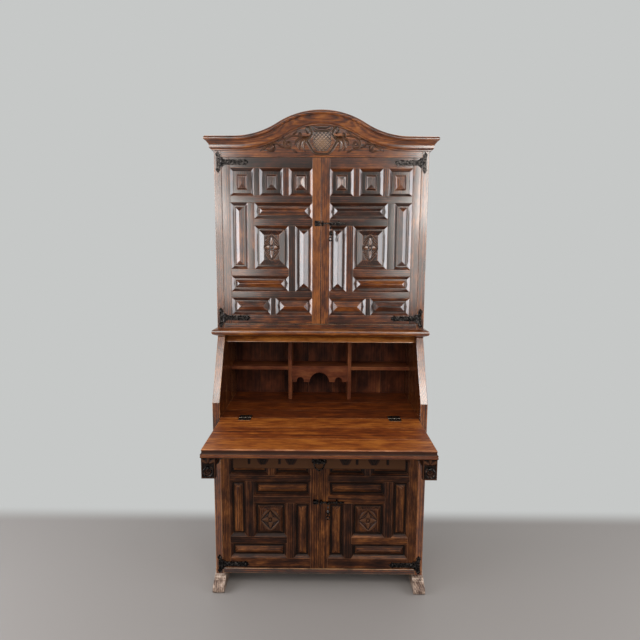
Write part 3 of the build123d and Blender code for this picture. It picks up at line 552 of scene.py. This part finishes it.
# uprights, shelf and apron of the writing space, the same dull stain on lighter boards
nicheBoards = {
    "divider_left": {"axis": 2, "ease": 0.0018, "tintOf": paleBoardAndPaintedLight},
    "divider_right": {"axis": 2, "ease": 0.0018, "tintOf": paleBoardAndPaintedLight},
    "pigeonhole_shelf": {"axis": 0, "ease": 0.0018, "tintOf": paleBoardAndPaintedLight},
    "pigeonhole_apron": {"axis": 0, "ease": 0.0008, "tintOf": paleBoardAndPaintedLight},
}
for node, board in nicheBoards.items():
    boardPiece(node + "_wood", node, insideBoards, **board)

insideParts = {
    "base_board": {"axis": 0, "ease": 0.001},
    "base_shelf": {"axis": 0, "ease": 0.001},
    "deck_board": {"axis": 0, "ease": 0.0015},
    "lower_back": {"axis": 2, "ease": 0.0012},
    "upper_back": {"axis": 2, "ease": 0.0012},
    "upper_roof": {"axis": 0, "ease": 0.001},
    "upper_shelves": {"axis": 0, "ease": 0.001},
    "drawer_box": {"ease": 0.001},
    "loper_guide_left": {"axis": 1, "ease": 0.001},
    "loper_guide_right": {"axis": 1, "ease": 0.001},
}
for node, board in insideParts.items():
    boardPiece(node + "_wood", node, insideBoards, "inside_wood", **board)
print("case boards made")

deskBoards = {
    # painted shade: the desk bed, in the hollow of the desk, takes darker tints than the fall
    "desk_bed": {"axis": 0, "cuts": (1, (yAt(0.31), yAt(0.19))), "ease": 0.0009,
                 "tintOf": fieldTint(-0.5, 0.0)},
    "fall_board": {"axis": 0, "cuts": (1, (yAt(0.635), yAt(0.52))), "ease": 0.0009},
    "fall_nosing": {"ease": 0.001, "shadeOf": edgingPaintedShade, "wearAndHighlightOf": edgingHighlightAndWear},
}
for node, board in deskBoards.items():
    boardPiece(node + "_wood", node, deskPine, **board)

boardPiece("bottom_rail_wood", "bottom_rail", casePine, axis=0, ease=0.0016, tintOf=fieldTint(-0.3, 0.0))
for side in ("left", "right"):
    boardPiece(f"foot_{side}_wood", f"foot_{side}", footWood, "foot_wood", axis=1, ease=0.002,
               sharpest=30, tintOf=fieldTint(0.3, 0.5) if side == "left" else fieldTint(0.25, 0.4))
    boardPiece(f"loper_{side}_wood", f"loper_{side}", lowWalnut, axis=1, ease=0.0016, leaveOut=(-1,))

# doors: painted shade and stain by depth behind the face, on the frame and on the panels; tint of the two
# meeting stiles and of the outer ones, and the range of the panels'
doorLook = {"ease": 0.0011, "upperStain": ((0.0055, 0.0115), (0.0098, 0.0128)),
            "lowerStain": ((0.003, 0.010), (0.0072, 0.0118)),
            "upperStiles": ((1.6, 1.1), 0.8), "lowerStiles": ((0.7, 0.7), 0.7),
            "upperFields": (0.2, 1.1), "lowerFields": (0.3, 0.9)}


def stileTint(meeting, outer):
    # the long stiles are cut from other boards than the short members between the panels
    longest, meetingWithin = 0.4, 0.1

    def tintOf(mid, size, dice):
        if size[2] > longest:
            return meeting[mid[0] > 0] if abs(mid[0]) < meetingWithin else outer
        return dice.uniform(0.0, 0.9)
    return tintOf


for level, finish in (("upper", doorWalnut), ("lower", lowWalnut)):
    tints = stileTint(*doorLook[level + "Stiles"])
    frameShadeAndStain, panelShadeAndStain = doorLook[level + "Stain"]
    for side in ("left", "right"):
        door = f"{level}_door_{side}"
        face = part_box(door + "_frame")[0].y
        boardPiece(door + "_frame_wood", door + "_frame", finish, ease=doorLook["ease"],
                   shadeOf=deep(face, *frameShadeAndStain), tintOf=tints)
        boardPiece(door + "_panel_wood", door + "_panels", finish, ease=doorLook["ease"] * 0.7,
                   shadeOf=deep(face, *panelShadeAndStain), tintOf=fieldTint(*doorLook[level + "Fields"]),
                   leaveOut=(-1,))
print("doors made")

# carving: painted shade and stain by height from the hollows (0) to the tops (1), and where the tops are
# rubbed and painted with a highlight
carvingLook = {"darkest": 1.05, "rubbedAndLitFrom": 0.72, "rubbedAndLitRise": 3.0, "smoothAngle": 55}


def addCarving(mesh, name, material, body, shadeLow, shadeHigh, replaced=(), axis=0):
    # painted shade follows depth: hollows dark; the tops of the carving rubbed and painted bright as a
    # highlight
    grain = mesh.attributes.new("grain", "FLOAT_VECTOR", "POINT")
    shade = mesh.attributes.new("shade", "FLOAT", "POINT")
    wearAndHighlight = mesh.attributes.new("wearAndHighlight", "FLOAT", "POINT")
    tint = mesh.attributes.new("tint", "FLOAT", "POINT")
    dice = random.Random(f"{seed} {name}")
    shift, boardTint = dice.uniform(-9, 9), dice.random()
    order = (0, 2, 1) if axis == 0 else (2, 0, 1)
    for i, v in enumerate(mesh.vertices):
        height = (shadeLow - v.co.y) / (shadeLow - shadeHigh)
        grain.data[i].vector = (v.co[order[0]] + shift, v.co[order[1]] * 0.5, v.co[order[2]] + 0.05)
        shade.data[i].value = max(0.0, min(1.0, carvingLook["darkest"] - height))
        rubbedAndLit = (height - carvingLook["rubbedAndLitFrom"]) * carvingLook["rubbedAndLitRise"]
        wearAndHighlight.data[i].value = max(0.0, min(1.0, rubbedAndLit))
        tint.data[i].value = boardTint
    finishPiece(name, mesh, material, body, "stained_wood", replaced, carvingLook["smoothAngle"])


def reliefMesh(name, placeOf, heightOf, base, back, rows, columns):
    # a carved face laid over a grid, with straight sides down to its back
    piece = bmesh.new()
    grid = []
    for i in range(rows + 1):
        line = []
        for j in range(columns + 1):
            x, z = placeOf(2 * j / columns - 1, 2 * i / rows - 1)
            line.append(piece.verts.new((x, base - heightOf(x, z), z)))
        grid.append(line)
    for i in range(rows):
        for j in range(columns):
            piece.faces.new((grid[i][j], grid[i][j + 1], grid[i + 1][j + 1], grid[i + 1][j]))
    rim = ([grid[0][j] for j in range(columns + 1)] + [grid[i][columns] for i in range(1, rows + 1)]
           + [grid[rows][j] for j in range(columns - 1, -1, -1)]
           + [grid[i][0] for i in range(rows - 1, 0, -1)])
    backs = [piece.verts.new((v.co.x, back, v.co.z)) for v in rim]
    for k in range(len(rim)):
        n = (k + 1) % len(rim)
        piece.faces.new((rim[k], backs[k], backs[n], rim[n]))
    piece.faces.new(backs)
    bmesh.ops.remove_doubles(piece, verts=piece.verts[:], dist=0.00005)
    bmesh.ops.recalc_face_normals(piece, faces=piece.faces[:])
    mesh = bpy.data.meshes.new(name)
    piece.to_mesh(mesh)
    piece.free()
    return mesh


def boxPlace(low, high):
    # spreads a grid over the front of a box
    def placeOf(s, t):
        return ((low.x + high.x) / 2 + s * (high.x - low.x) / 2,
                (low.z + high.z) / 2 + t * (high.z - low.z) / 2)
    return placeOf


# bosses on the middle panels; the upper ones are pointed ovals with four petals over gouged ribs, the lower
# ones rounder, cut with a star inside a lozenge (millimetres)
bossLook = {"upper": {"halfWidth": 33, "halfHeight": 57, "relief": 5.5, "ribs": 11.0, "bud": 5.0,
                      "petals": ((47, 7.0), (30, 9.0))},
            "lower": {"halfWidth": 39, "halfHeight": 46, "relief": 5.0, "ribs": 11.0, "bud": 5.0,
                      "lozenge": (38, 42)},
            "proud": 1.0}
bossBack = 0.0098          # behind the face of the door, in metres


def budHeight(far, bud, height):
    # a round bud in a dark hollow
    if far < bud:
        return 0.55 + 0.45 * math.sqrt(1 - (far / bud) ** 2)
    return min(height, 0.08 + max(0.0, far - bud * 1.55) * 0.3)


def upperBoss(x, z, look):
    x, z = abs(x), abs(z)
    height = 0.46 + 0.3 * math.cos(2 * math.pi * (x * 1.05 + z * 0.95) / look["ribs"])
    for along, across, (length, width) in ((z, x, look["petals"][0]), (x, z, look["petals"][1])):
        t = (along - 4) / (length - 4)
        if 0 < t < 1:
            half = width * math.sin(math.pi * t ** 0.8)
            if across < half:
                height = 0.55 + 0.45 * (1 - across / half)
            elif across < half + 3:
                height = min(height, 0.1)
    return budHeight(math.hypot(x, z * 0.85), look["bud"], height)


def lowerBoss(x, z, look):
    u, v = abs(x) / look["lozenge"][0], abs(z) / look["lozenge"][1]
    if u + v > 1:
        return 0.1 + 0.65 * min(1.0, (u + v - 1) * 9)
    height = 0.32 + 0.22 * math.cos(2 * math.pi * (abs(x) + abs(z)) / look["ribs"])
    for along, across in ((v, u), (u, v)):
        half = 0.46 * (1 - along) * min(1.0, along * 3)
        if across < half:
            height = max(height, 0.5 + 0.5 * (1 - across / half))
        elif across < half + 0.06:
            height = min(height, 0.12)
    return budHeight(math.hypot(x * 1.2, z * 0.85), look["bud"], height) * min(1.0, 0.15 + (1 - u - v) * 9)


for level, finish, cutBoss in (("upper", doorWalnut, upperBoss), ("lower", lowWalnut, lowerBoss)):
    look = bossLook[level]
    tall, wide, relief = look["halfHeight"] / 1000, look["halfWidth"] / 1000, look["relief"] / 1000
    for side in ("left", "right"):
        door = f"{level}_door_{side}"
        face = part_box(door + "_frame")[0].y
        low, high = spanOf(solidsOf(door + "_panels")[-1])
        midX, midZ = (low[0] + high[0]) / 2, (low[2] + high[2]) / 2

        def ovalPlace(s, t, midX=midX, midZ=midZ, wide=wide, tall=tall):
            radius = (wide * wide + tall * tall) / (2 * wide)
            half = math.sqrt(max(0.0, radius ** 2 - (t * tall) ** 2)) - radius + wide
            return midX + s * max(half, 0.0004), midZ + t * tall

        def ovalHeight(x, z, midX=midX, midZ=midZ, look=look, cutBoss=cutBoss):
            u, v = (x - midX) * 1000, (z - midZ) * 1000
            rim = 1 - abs(u) / look["halfWidth"] - 0.72 * (v / look["halfHeight"]) ** 2
            return look["relief"] / 1000 * cutBoss(u, v, look) * min(1.0, 0.25 + max(0.0, rim) * 9)

        base = face - bossLook["proud"] / 1000 + relief
        mesh = reliefMesh(door + "_boss", ovalPlace, ovalHeight, base, face + bossBack, rows=96, columns=64)
        addCarving(mesh, door + "_boss", finish, door, base + 0.002, base - relief * 0.62)


# carved leafwork strokes: gouged ribbons that swell and taper
def smoothLine(points, steps=9):
    line = []
    for k in range(len(points) - 1):
        a, b, c, d = (points[max(k - 1, 0)], points[k], points[k + 1], points[min(k + 2, len(points) - 1)])
        for i in range(steps):
            t = i / steps
            line.append([0.5 * (2 * q + (r - p) * t + (2 * p - 5 * q + 4 * r - w) * t * t
                                + (3 * q - p - 3 * r + w) * t ** 3) for p, q, r, w in zip(a, b, c, d)])
    return line + [list(points[-1])]


def curl(centre, start, turns, first, last, width, count=9):
    # points of a scroll winding inwards, each with its half width
    points = []
    for k in range(count + 1):
        t = k / count
        angle = math.radians(start) + turns * 2 * math.pi * t
        radius = first + (last - first) * t
        points.append((centre[0] + radius * math.cos(angle), centre[1] + radius * math.sin(angle),
                       width * (1 - 0.55 * t)))
    return points


# across a stroke: a low skirt that carries painted shade round it, two arrises and the gouged hollow between
# them
ribbonSection = ((-1.55, 0.0), (-1.1, 0.06), (-0.88, 0.8), (-0.64, 1.0), (-0.2, 0.5), (0.2, 0.5),
                 (0.64, 1.0), (0.88, 0.8), (1.1, 0.06), (1.55, 0.0))


def addRibbon(piece, points, base, height, sign):
    # sign is -1 for the mirrored half; a stroke as wide as fullWidth stands at its full height
    fullWidth = 3.5
    line = smoothLine(points)
    rings = []
    for k, (x, z, width) in enumerate(line):
        ahead, behind = line[min(k + 1, len(line) - 1)], line[max(k - 1, 0)]
        dx, dz = ahead[0] - behind[0], ahead[1] - behind[1]
        size = math.hypot(dx, dz) or 1
        nx, nz = -dz / size, dx / size
        lift = height * (0.35 + 0.65 * min(1.0, width / fullWidth))
        ring = []
        for across, up in ribbonSection:
            px = (x + nx * width * across) * sign
            ring.append(piece.verts.new((px / 1000, base - up * lift, (z + nz * width * across) / 1000)))
        rings.append(ring)
    for one, two in zip(rings, rings[1:]):
        for a, b, c, d in zip(one, one[1:], two[1:], two):
            piece.faces.new((a, b, c, d))
    for ring in (rings[0], rings[-1]):
        piece.faces.new(ring)


def addBud(piece, x, z, radius, base, height):
    # a dome of a few rings under one top corner
    sides, levels = 12, 4
    rings = []
    for k in range(levels):
        tilt = k / levels * math.pi / 2
        out = radius * math.cos(tilt)
        rings.append([piece.verts.new(((x + out * math.cos(a * math.pi / 6)) / 1000,
                                       base - height * math.sin(tilt),
                                       (z + out * math.sin(a * math.pi / 6)) / 1000))
                      for a in range(sides)])
    top = piece.verts.new((x / 1000, base - height, z / 1000))
    for one, two in zip(rings, rings[1:]):
        for a in range(sides):
            b = (a + 1) % sides
            piece.faces.new((one[a], one[b], two[b], two[a]))
    for a in range(sides):
        piece.faces.new((rings[-1][a], rings[-1][(a + 1) % sides], top))


# crest carving, right half in millimetres (x, z, half width); the left half mirrors it about its middle
crestLook = {"middle": 2.5, "height": 0.006, "frameHeight": 0.009,
             "buds": ((137, 1869, 5), (197, 1858.5, 4), (88, 1908, 3))}
crestLeaves = [
    [(50, 1893, 1.5), (66, 1889, 4.5), (78, 1872, 6.5), (76, 1854, 5), (67, 1841, 1.2)],
    [(56, 1893, 1.5), (78, 1888, 4), (94, 1872, 5.5), (94, 1856, 4), (86, 1845, 1)],
    [(58, 1897, 1.5), (84, 1896, 3.2), (103, 1884, 4), (108, 1871, 2.5), (104, 1862, 1)],
    [(48, 1902, 2), (66, 1899, 2.6), (79, 1899, 2.8)] + curl((88, 1908), -130, 0.95, 9.5, 3.2, 3),
    [(84, 1896, 1.8), (108, 1902, 3), (130, 1900, 3.4), (148, 1890, 3.8)]
    + curl((137, 1869), 25, -1.15, 18.5, 5.5, 4.6, 11),
    [(151, 1857, 1.6), (163, 1857, 2.6), (174, 1865, 3), (184, 1872, 3.2)]
    + curl((197, 1858.5), 95, -1.1, 14, 4.2, 3.8, 10),
    [(120, 1903, 1.2), (113, 1911, 3.2), (103, 1917, 3), (96, 1919, 0.8)],
    [(150, 1890, 1.2), (163, 1891, 3), (172, 1886, 3), (179, 1877, 0.8)],
    [(127, 1853, 1), (117, 1846, 3), (108, 1840, 2.6), (100, 1838, 0.8)],
    [(207, 1866, 1.4), (222, 1862, 3.6), (238, 1852, 3.8), (252, 1842, 0.8)],
    [(190, 1844, 1), (205, 1841, 3), (222, 1845, 3.2), (236, 1843, 0.8)],
]
crestFrame = [
    [(56, 1940, 1.6), (54, 1936, 4.4), (46, 1922, 5), (41, 1911, 4.6), (48, 1898, 4.6), (61, 1885, 5.4),
     (55, 1872, 5), (43, 1853, 4.8), (31, 1837, 4.2), (14, 1832, 3.6), (0, 1831, 3.4)],
    [(55, 1938, 1), (64, 1931, 3), (66, 1921, 3.2), (58, 1914, 2.6), (52, 1918, 1.2)],
    [(0, 1920, 3.4), (16, 1921, 3.6), (30, 1926, 3.4), (42, 1936, 1.6)],
    [(0, 1934, 2.6), (12, 1933, 2.8), (24, 1937, 2.2), (33, 1941, 0.8)],
]
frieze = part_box("frieze_board")[0].y
leaves = bmesh.new()
frameWork = bmesh.new()
for sign in (1, -1):
    for group, piece, height in ((crestLeaves, leaves, crestLook["height"]),
                                 (crestFrame, frameWork, crestLook["frameHeight"])):
        for points in group:
            shifted = [(x + sign * crestLook["middle"], z, w) for x, z, w in points]
            addRibbon(piece, shifted, frieze + 0.0003, height, sign)
    for x, z, radius in crestLook["buds"]:
        addBud(leaves, sign * x + crestLook["middle"], z, radius, frieze, crestLook["height"])
for piece, name, height in ((leaves, "crest_leaves", crestLook["height"]),
                            (frameWork, "crest_frame", crestLook["frameHeight"])):
    bmesh.ops.recalc_face_normals(piece, faces=piece.faces[:])
    mesh = bpy.data.meshes.new(name)
    piece.to_mesh(mesh)
    piece.free()
    addCarving(mesh, name, casePine, "case", frieze - 0.0002, frieze - height * 0.88)


def shieldPlace(s, t):
    z = 1880 + 38 * t
    half = 34 + 4 * bell((z - 1884) / 26)
    if z < 1884:
        half = 38 * math.sqrt(max(0.03, 1 - ((1884 - z) / 44) ** 2))
    return (crestLook["middle"] + s * half) / 1000, z / 1000


def shieldHeight(x, z):
    # a domed field cut with a diamond lattice
    u, v = x * 1000 - crestLook["middle"], z * 1000 - 1876
    first = abs(((u + v) / 15) % 1 - 0.5) * 2
    second = abs(((u - v) / 15) % 1 - 0.5) * 2
    cut = max(bell((1 - first) / 0.42), bell((1 - second) / 0.42))
    return 0.0025 + 0.002 * bell(math.hypot(u / 60, v / 50)) - 0.0017 * cut


shieldMesh = reliefMesh("crest_shield", shieldPlace, shieldHeight, frieze, frieze + 0.0002, rows=70,
                        columns=84)
addCarving(shieldMesh, "crest_shield", casePine, "case", frieze + 0.002, frieze - 0.0035, ("cartouche",))

# drawer front: bars and pointed motifs cut into its face, their places in millimetres from its middle
drawerLook = {"cutFrom": 0.667, "cutTo": 0.730, "deepest": 0.003, "middle": 3,
              "bars": (252, 141), "motifs": (202, 99), "barHalf": 6.0, "motifHalf": 24.0}
drawerLow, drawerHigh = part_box("drawer_front")


def drawerHeight(x, z):
    edge = min(x - drawerLow.x, drawerHigh.x - x, z - drawerLow.z, drawerHigh.z - z)
    ease = 0.0012 * bell(edge / 0.0022)
    middle = (drawerLook["cutFrom"] + drawerLook["cutTo"]) / 2
    upDown = (z - middle) / ((drawerLook["cutTo"] - drawerLook["cutFrom"]) / 2)
    cut = 0.0
    if abs(upDown) < 1:
        across = abs(x * 1000 + drawerLook["middle"])
        for bar in drawerLook["bars"]:
            cut = max(cut, bell((across - bar) / drawerLook["barHalf"]) * min(1.0, (1 - abs(upDown)) * 6))
        for motif in drawerLook["motifs"]:
            u = (across - motif) / drawerLook["motifHalf"]
            leaf = 1 - abs(u) - 0.55 * upDown * upDown
            if leaf > 0:
                vein = abs(math.sin(math.pi * (2.6 * abs(u) + 1.5 * abs(upDown) + 0.15)))
                cut = max(cut, (0.25 + 0.6 * (1 - vein)) * min(1.0, leaf * 5))
    return -drawerLook["deepest"] * cut - ease


drawerMesh = reliefMesh("drawer_front_wood", boxPlace(drawerLow, drawerHigh), drawerHeight, drawerLow.y,
                        drawerHigh.y, rows=60, columns=420)
addCarving(drawerMesh, "drawer_front_wood", frontPine, "drawer", drawerLow.y + 0.0016,
           drawerLow.y - 0.0002, ("drawer_front",))

# loper heads: a spread leaf over a ringed rosette that the iron ring lies on
headLook = {"border": 0.003, "deepest": 0.0034, "leafFoot": 0.704, "leafReach": 0.014, "rosette": 0.678,
            "rosetteReach": 0.019, "rings": 0.0076}
for side in ("left", "right"):
    low, high = [Vector(corner) for corner in spanOf(solidsOf("loper_" + side)[-1])]
    midX = (low.x + high.x) / 2

    def headHeight(x, z, low=low, high=high, midX=midX):
        edge = min(x - low.x, high.x - x, z - low.z, high.z - z)
        ease = 0.001 * bell(edge / 0.002)
        if edge < headLook["border"]:
            return -ease
        cut = min(1.0, (edge - headLook["border"]) / 0.002)
        u, v = x - midX, z - headLook["leafFoot"]
        raised = 0.0
        if v > 0:
            angle, far = math.atan2(u, v), math.hypot(u, v)
            lobe = abs(math.cos(angle * 3.2))
            if far < headLook["leafReach"] + headLook["leafReach"] * lobe:
                raised = (0.35 + 0.65 * lobe) * min(1.0, far / 0.006)
        far = math.hypot(x - midX, z - headLook["rosette"])
        if far < headLook["rosetteReach"]:
            raised = 0.5 + 0.45 * math.cos(2 * math.pi * far / headLook["rings"])
        return -headLook["deepest"] * cut * (1 - raised) - ease

    mesh = reliefMesh(f"loper_{side}_head", boxPlace(low, high), headHeight, low.y, high.y, rows=72,
                      columns=42)
    addCarving(mesh, f"loper_{side}_head", frontPine, "loper_" + side, low.y + headLook["deepest"],
               low.y - 0.0006, axis=2)
print("carving made")

# ironwork keeps the frame's shapes
for node, thing in frame["nodes"].items():
    slots = [m.name for m in thing.data.materials if m]
    if "iron" in slots:
        thing.data.materials[0] = blackIron
    elif "hinge_steel" in slots:
        thing.data.materials[0] = hingeSteel

room = {"floorColour": "#8f8b88", "wallColour": "#c6c8c7", "fadeFrom": 0.47, "fadeTo": 0.64,
        "frontGlow": 0.09, "backGlow": 1.0, "glowFrom": -0.3, "glowTo": 0.45, "floorHalf": 30.0}
floorMesh = bpy.data.meshes.new("paleFloor")
half = room["floorHalf"]
floorMesh.from_pydata([(-half, -half, 0), (half, -half, 0), (half, half, 0), (-half, half, 0)], [],
                      [(0, 1, 2, 3)])
floor = bpy.data.objects.new("paleFloor", floorMesh)
bpy.context.scene.collection.objects.link(floor)
# painted floor that sweeps up into the plain wall colour behind the object
floorPaint, floorTree = newMaterial("paleFloorPaint")
floorPlace = addNode(floorTree, "ShaderNodeTexCoord")
floorParts = addNode(floorTree, "ShaderNodeSeparateXYZ", links={0: floorPlace.outputs["Object"]})
fade = addNode(floorTree, "ShaderNodeMapRange", {"interpolation_type": "SMOOTHSTEP",
                                                 "From Min": room["fadeFrom"],
                                                 "From Max": room["fadeTo"]},
               {"Value": floorParts.outputs["Y"]})
paint = addNode(floorTree, "ShaderNodeBsdfPrincipled", {"Base Color": linearOf(room["floorColour"]),
                                                        "Roughness": 0.6})
sweep = addNode(floorTree, "ShaderNodeEmission", {"Color": linearOf(room["wallColour"])})
finishTree(floorTree, addNode(floorTree, "ShaderNodeMixShader",
                              links={0: fade.outputs[0], 1: paint.outputs[0], 2: sweep.outputs[0]}))
floorMesh.materials.append(floorPaint)

# a pale wall behind the object; the room in front of it is dimmer, so that polish shows the soft boxes
world = bpy.data.worlds.new("studio")
bpy.context.scene.world = world
world.use_nodes = True
worldTree = world.node_tree
worldTree.nodes.clear()
skyPlace = addNode(worldTree, "ShaderNodeTexCoord")
skyParts = addNode(worldTree, "ShaderNodeSeparateXYZ", links={0: skyPlace.outputs["Generated"]})
glow = addNode(worldTree, "ShaderNodeMapRange", {"interpolation_type": "SMOOTHSTEP",
                                                 "From Min": room["glowFrom"],
                                                 "From Max": room["glowTo"],
                                                 "To Min": room["frontGlow"],
                                                 "To Max": room["backGlow"]},
               {"Value": skyParts.outputs["Y"]})
roomGlow = addNode(worldTree, "ShaderNodeBackground", {"Color": linearOf(room["wallColour"])},
                   {"Strength": glow.outputs[0]})
addNode(worldTree, "ShaderNodeOutputWorld", links={"Surface": roomGlow.outputs[0]})

# soft boxes: place, aim, width and height, radiance in watts per square metre per steradian, colour
softBoxes = {
    "windowLeft": {"at": (-2.73, -0.57, 1.6), "aim": (0, 0.0, 1.45), "size": (2.5, 1.6), "glow": 7.0,
                   "colour": "#fbfbff"},
    "windowRight": {"at": (2.73, -0.57, 1.6), "aim": (0, 0.0, 1.45), "size": (2.5, 1.6), "glow": 4.8,
                    "colour": "#fdfcff"},
    "sideLeft": {"at": (-2.35, -2.75, 1.6), "aim": (0, 0.0, 1.45), "size": (1.3, 1.3), "glow": 1.9,
                 "colour": "#fffaf4"},
    "sideRight": {"at": (2.35, -2.75, 1.6), "aim": (0, 0.0, 1.45), "size": (1.3, 1.3), "glow": 1.6,
                  "colour": "#fffaf4"},
    "frontLeft": {"at": (-1.2, -3.7, 1.5), "aim": (0, 0, 1.3), "size": (0.8, 1.3), "glow": 3.8,
                  "colour": "#fff8f0"},
    "frontRight": {"at": (1.2, -3.7, 1.5), "aim": (0, 0, 1.3), "size": (0.8, 1.3), "glow": 3.4,
                   "colour": "#fff8f0"},
    "highLeft": {"at": (-0.97, -2.1, 2.08), "aim": (-0.42, 0, 0.95), "size": (0.32, 0.9), "glow": 5.2,
                 "colour": "#fffaf4"},
    "highRight": {"at": (0.97, -2.1, 2.08), "aim": (0.42, 0, 0.95), "size": (0.32, 0.9), "glow": 9.6,
                  "colour": "#fffaf4"},
    "ceiling": {"at": (0, -2.1, 2.8), "aim": (0, -0.9, 0), "size": (2.8, 0.6), "glow": 5.0,
                "colour": "#fff9f2"},
}
for name, box in softBoxes.items():
    lamp = bpy.data.lights.new(name, "AREA")
    lamp.shape = "RECTANGLE"
    lamp.size, lamp.size_y = box["size"]
    lamp.energy = box["glow"] * math.pi * box["size"][0] * box["size"][1]
    lamp.color = linearOf(box["colour"])[:3]
    holder = bpy.data.objects.new(name, lamp)
    holder.location = box["at"]
    holder.rotation_mode = "QUATERNION"
    holder.rotation_quaternion = (Vector(box["aim"]) - Vector(box["at"])).to_track_quat("-Z", "Y")
    bpy.context.scene.collection.objects.link(holder)

# sensor and lens in millimetres, turn in radians
shot = {"sensor": 36, "lens": 27.186, "at": (0.0095, -1.9493, 1.4163),
        "turn": (1.440923, -0.005487, 0.006337)}
camera = bpy.data.cameras.new("camera")
camera.sensor_width = shot["sensor"]
camera.lens = shot["lens"]
cameraHolder = bpy.data.objects.new("camera", camera)
cameraHolder.location = shot["at"]
cameraHolder.rotation_euler = shot["turn"]
bpy.context.scene.collection.objects.link(cameraHolder)
bpy.context.scene.camera = cameraHolder
bpy.context.scene.view_settings.view_transform = "Standard"
print("studio made")
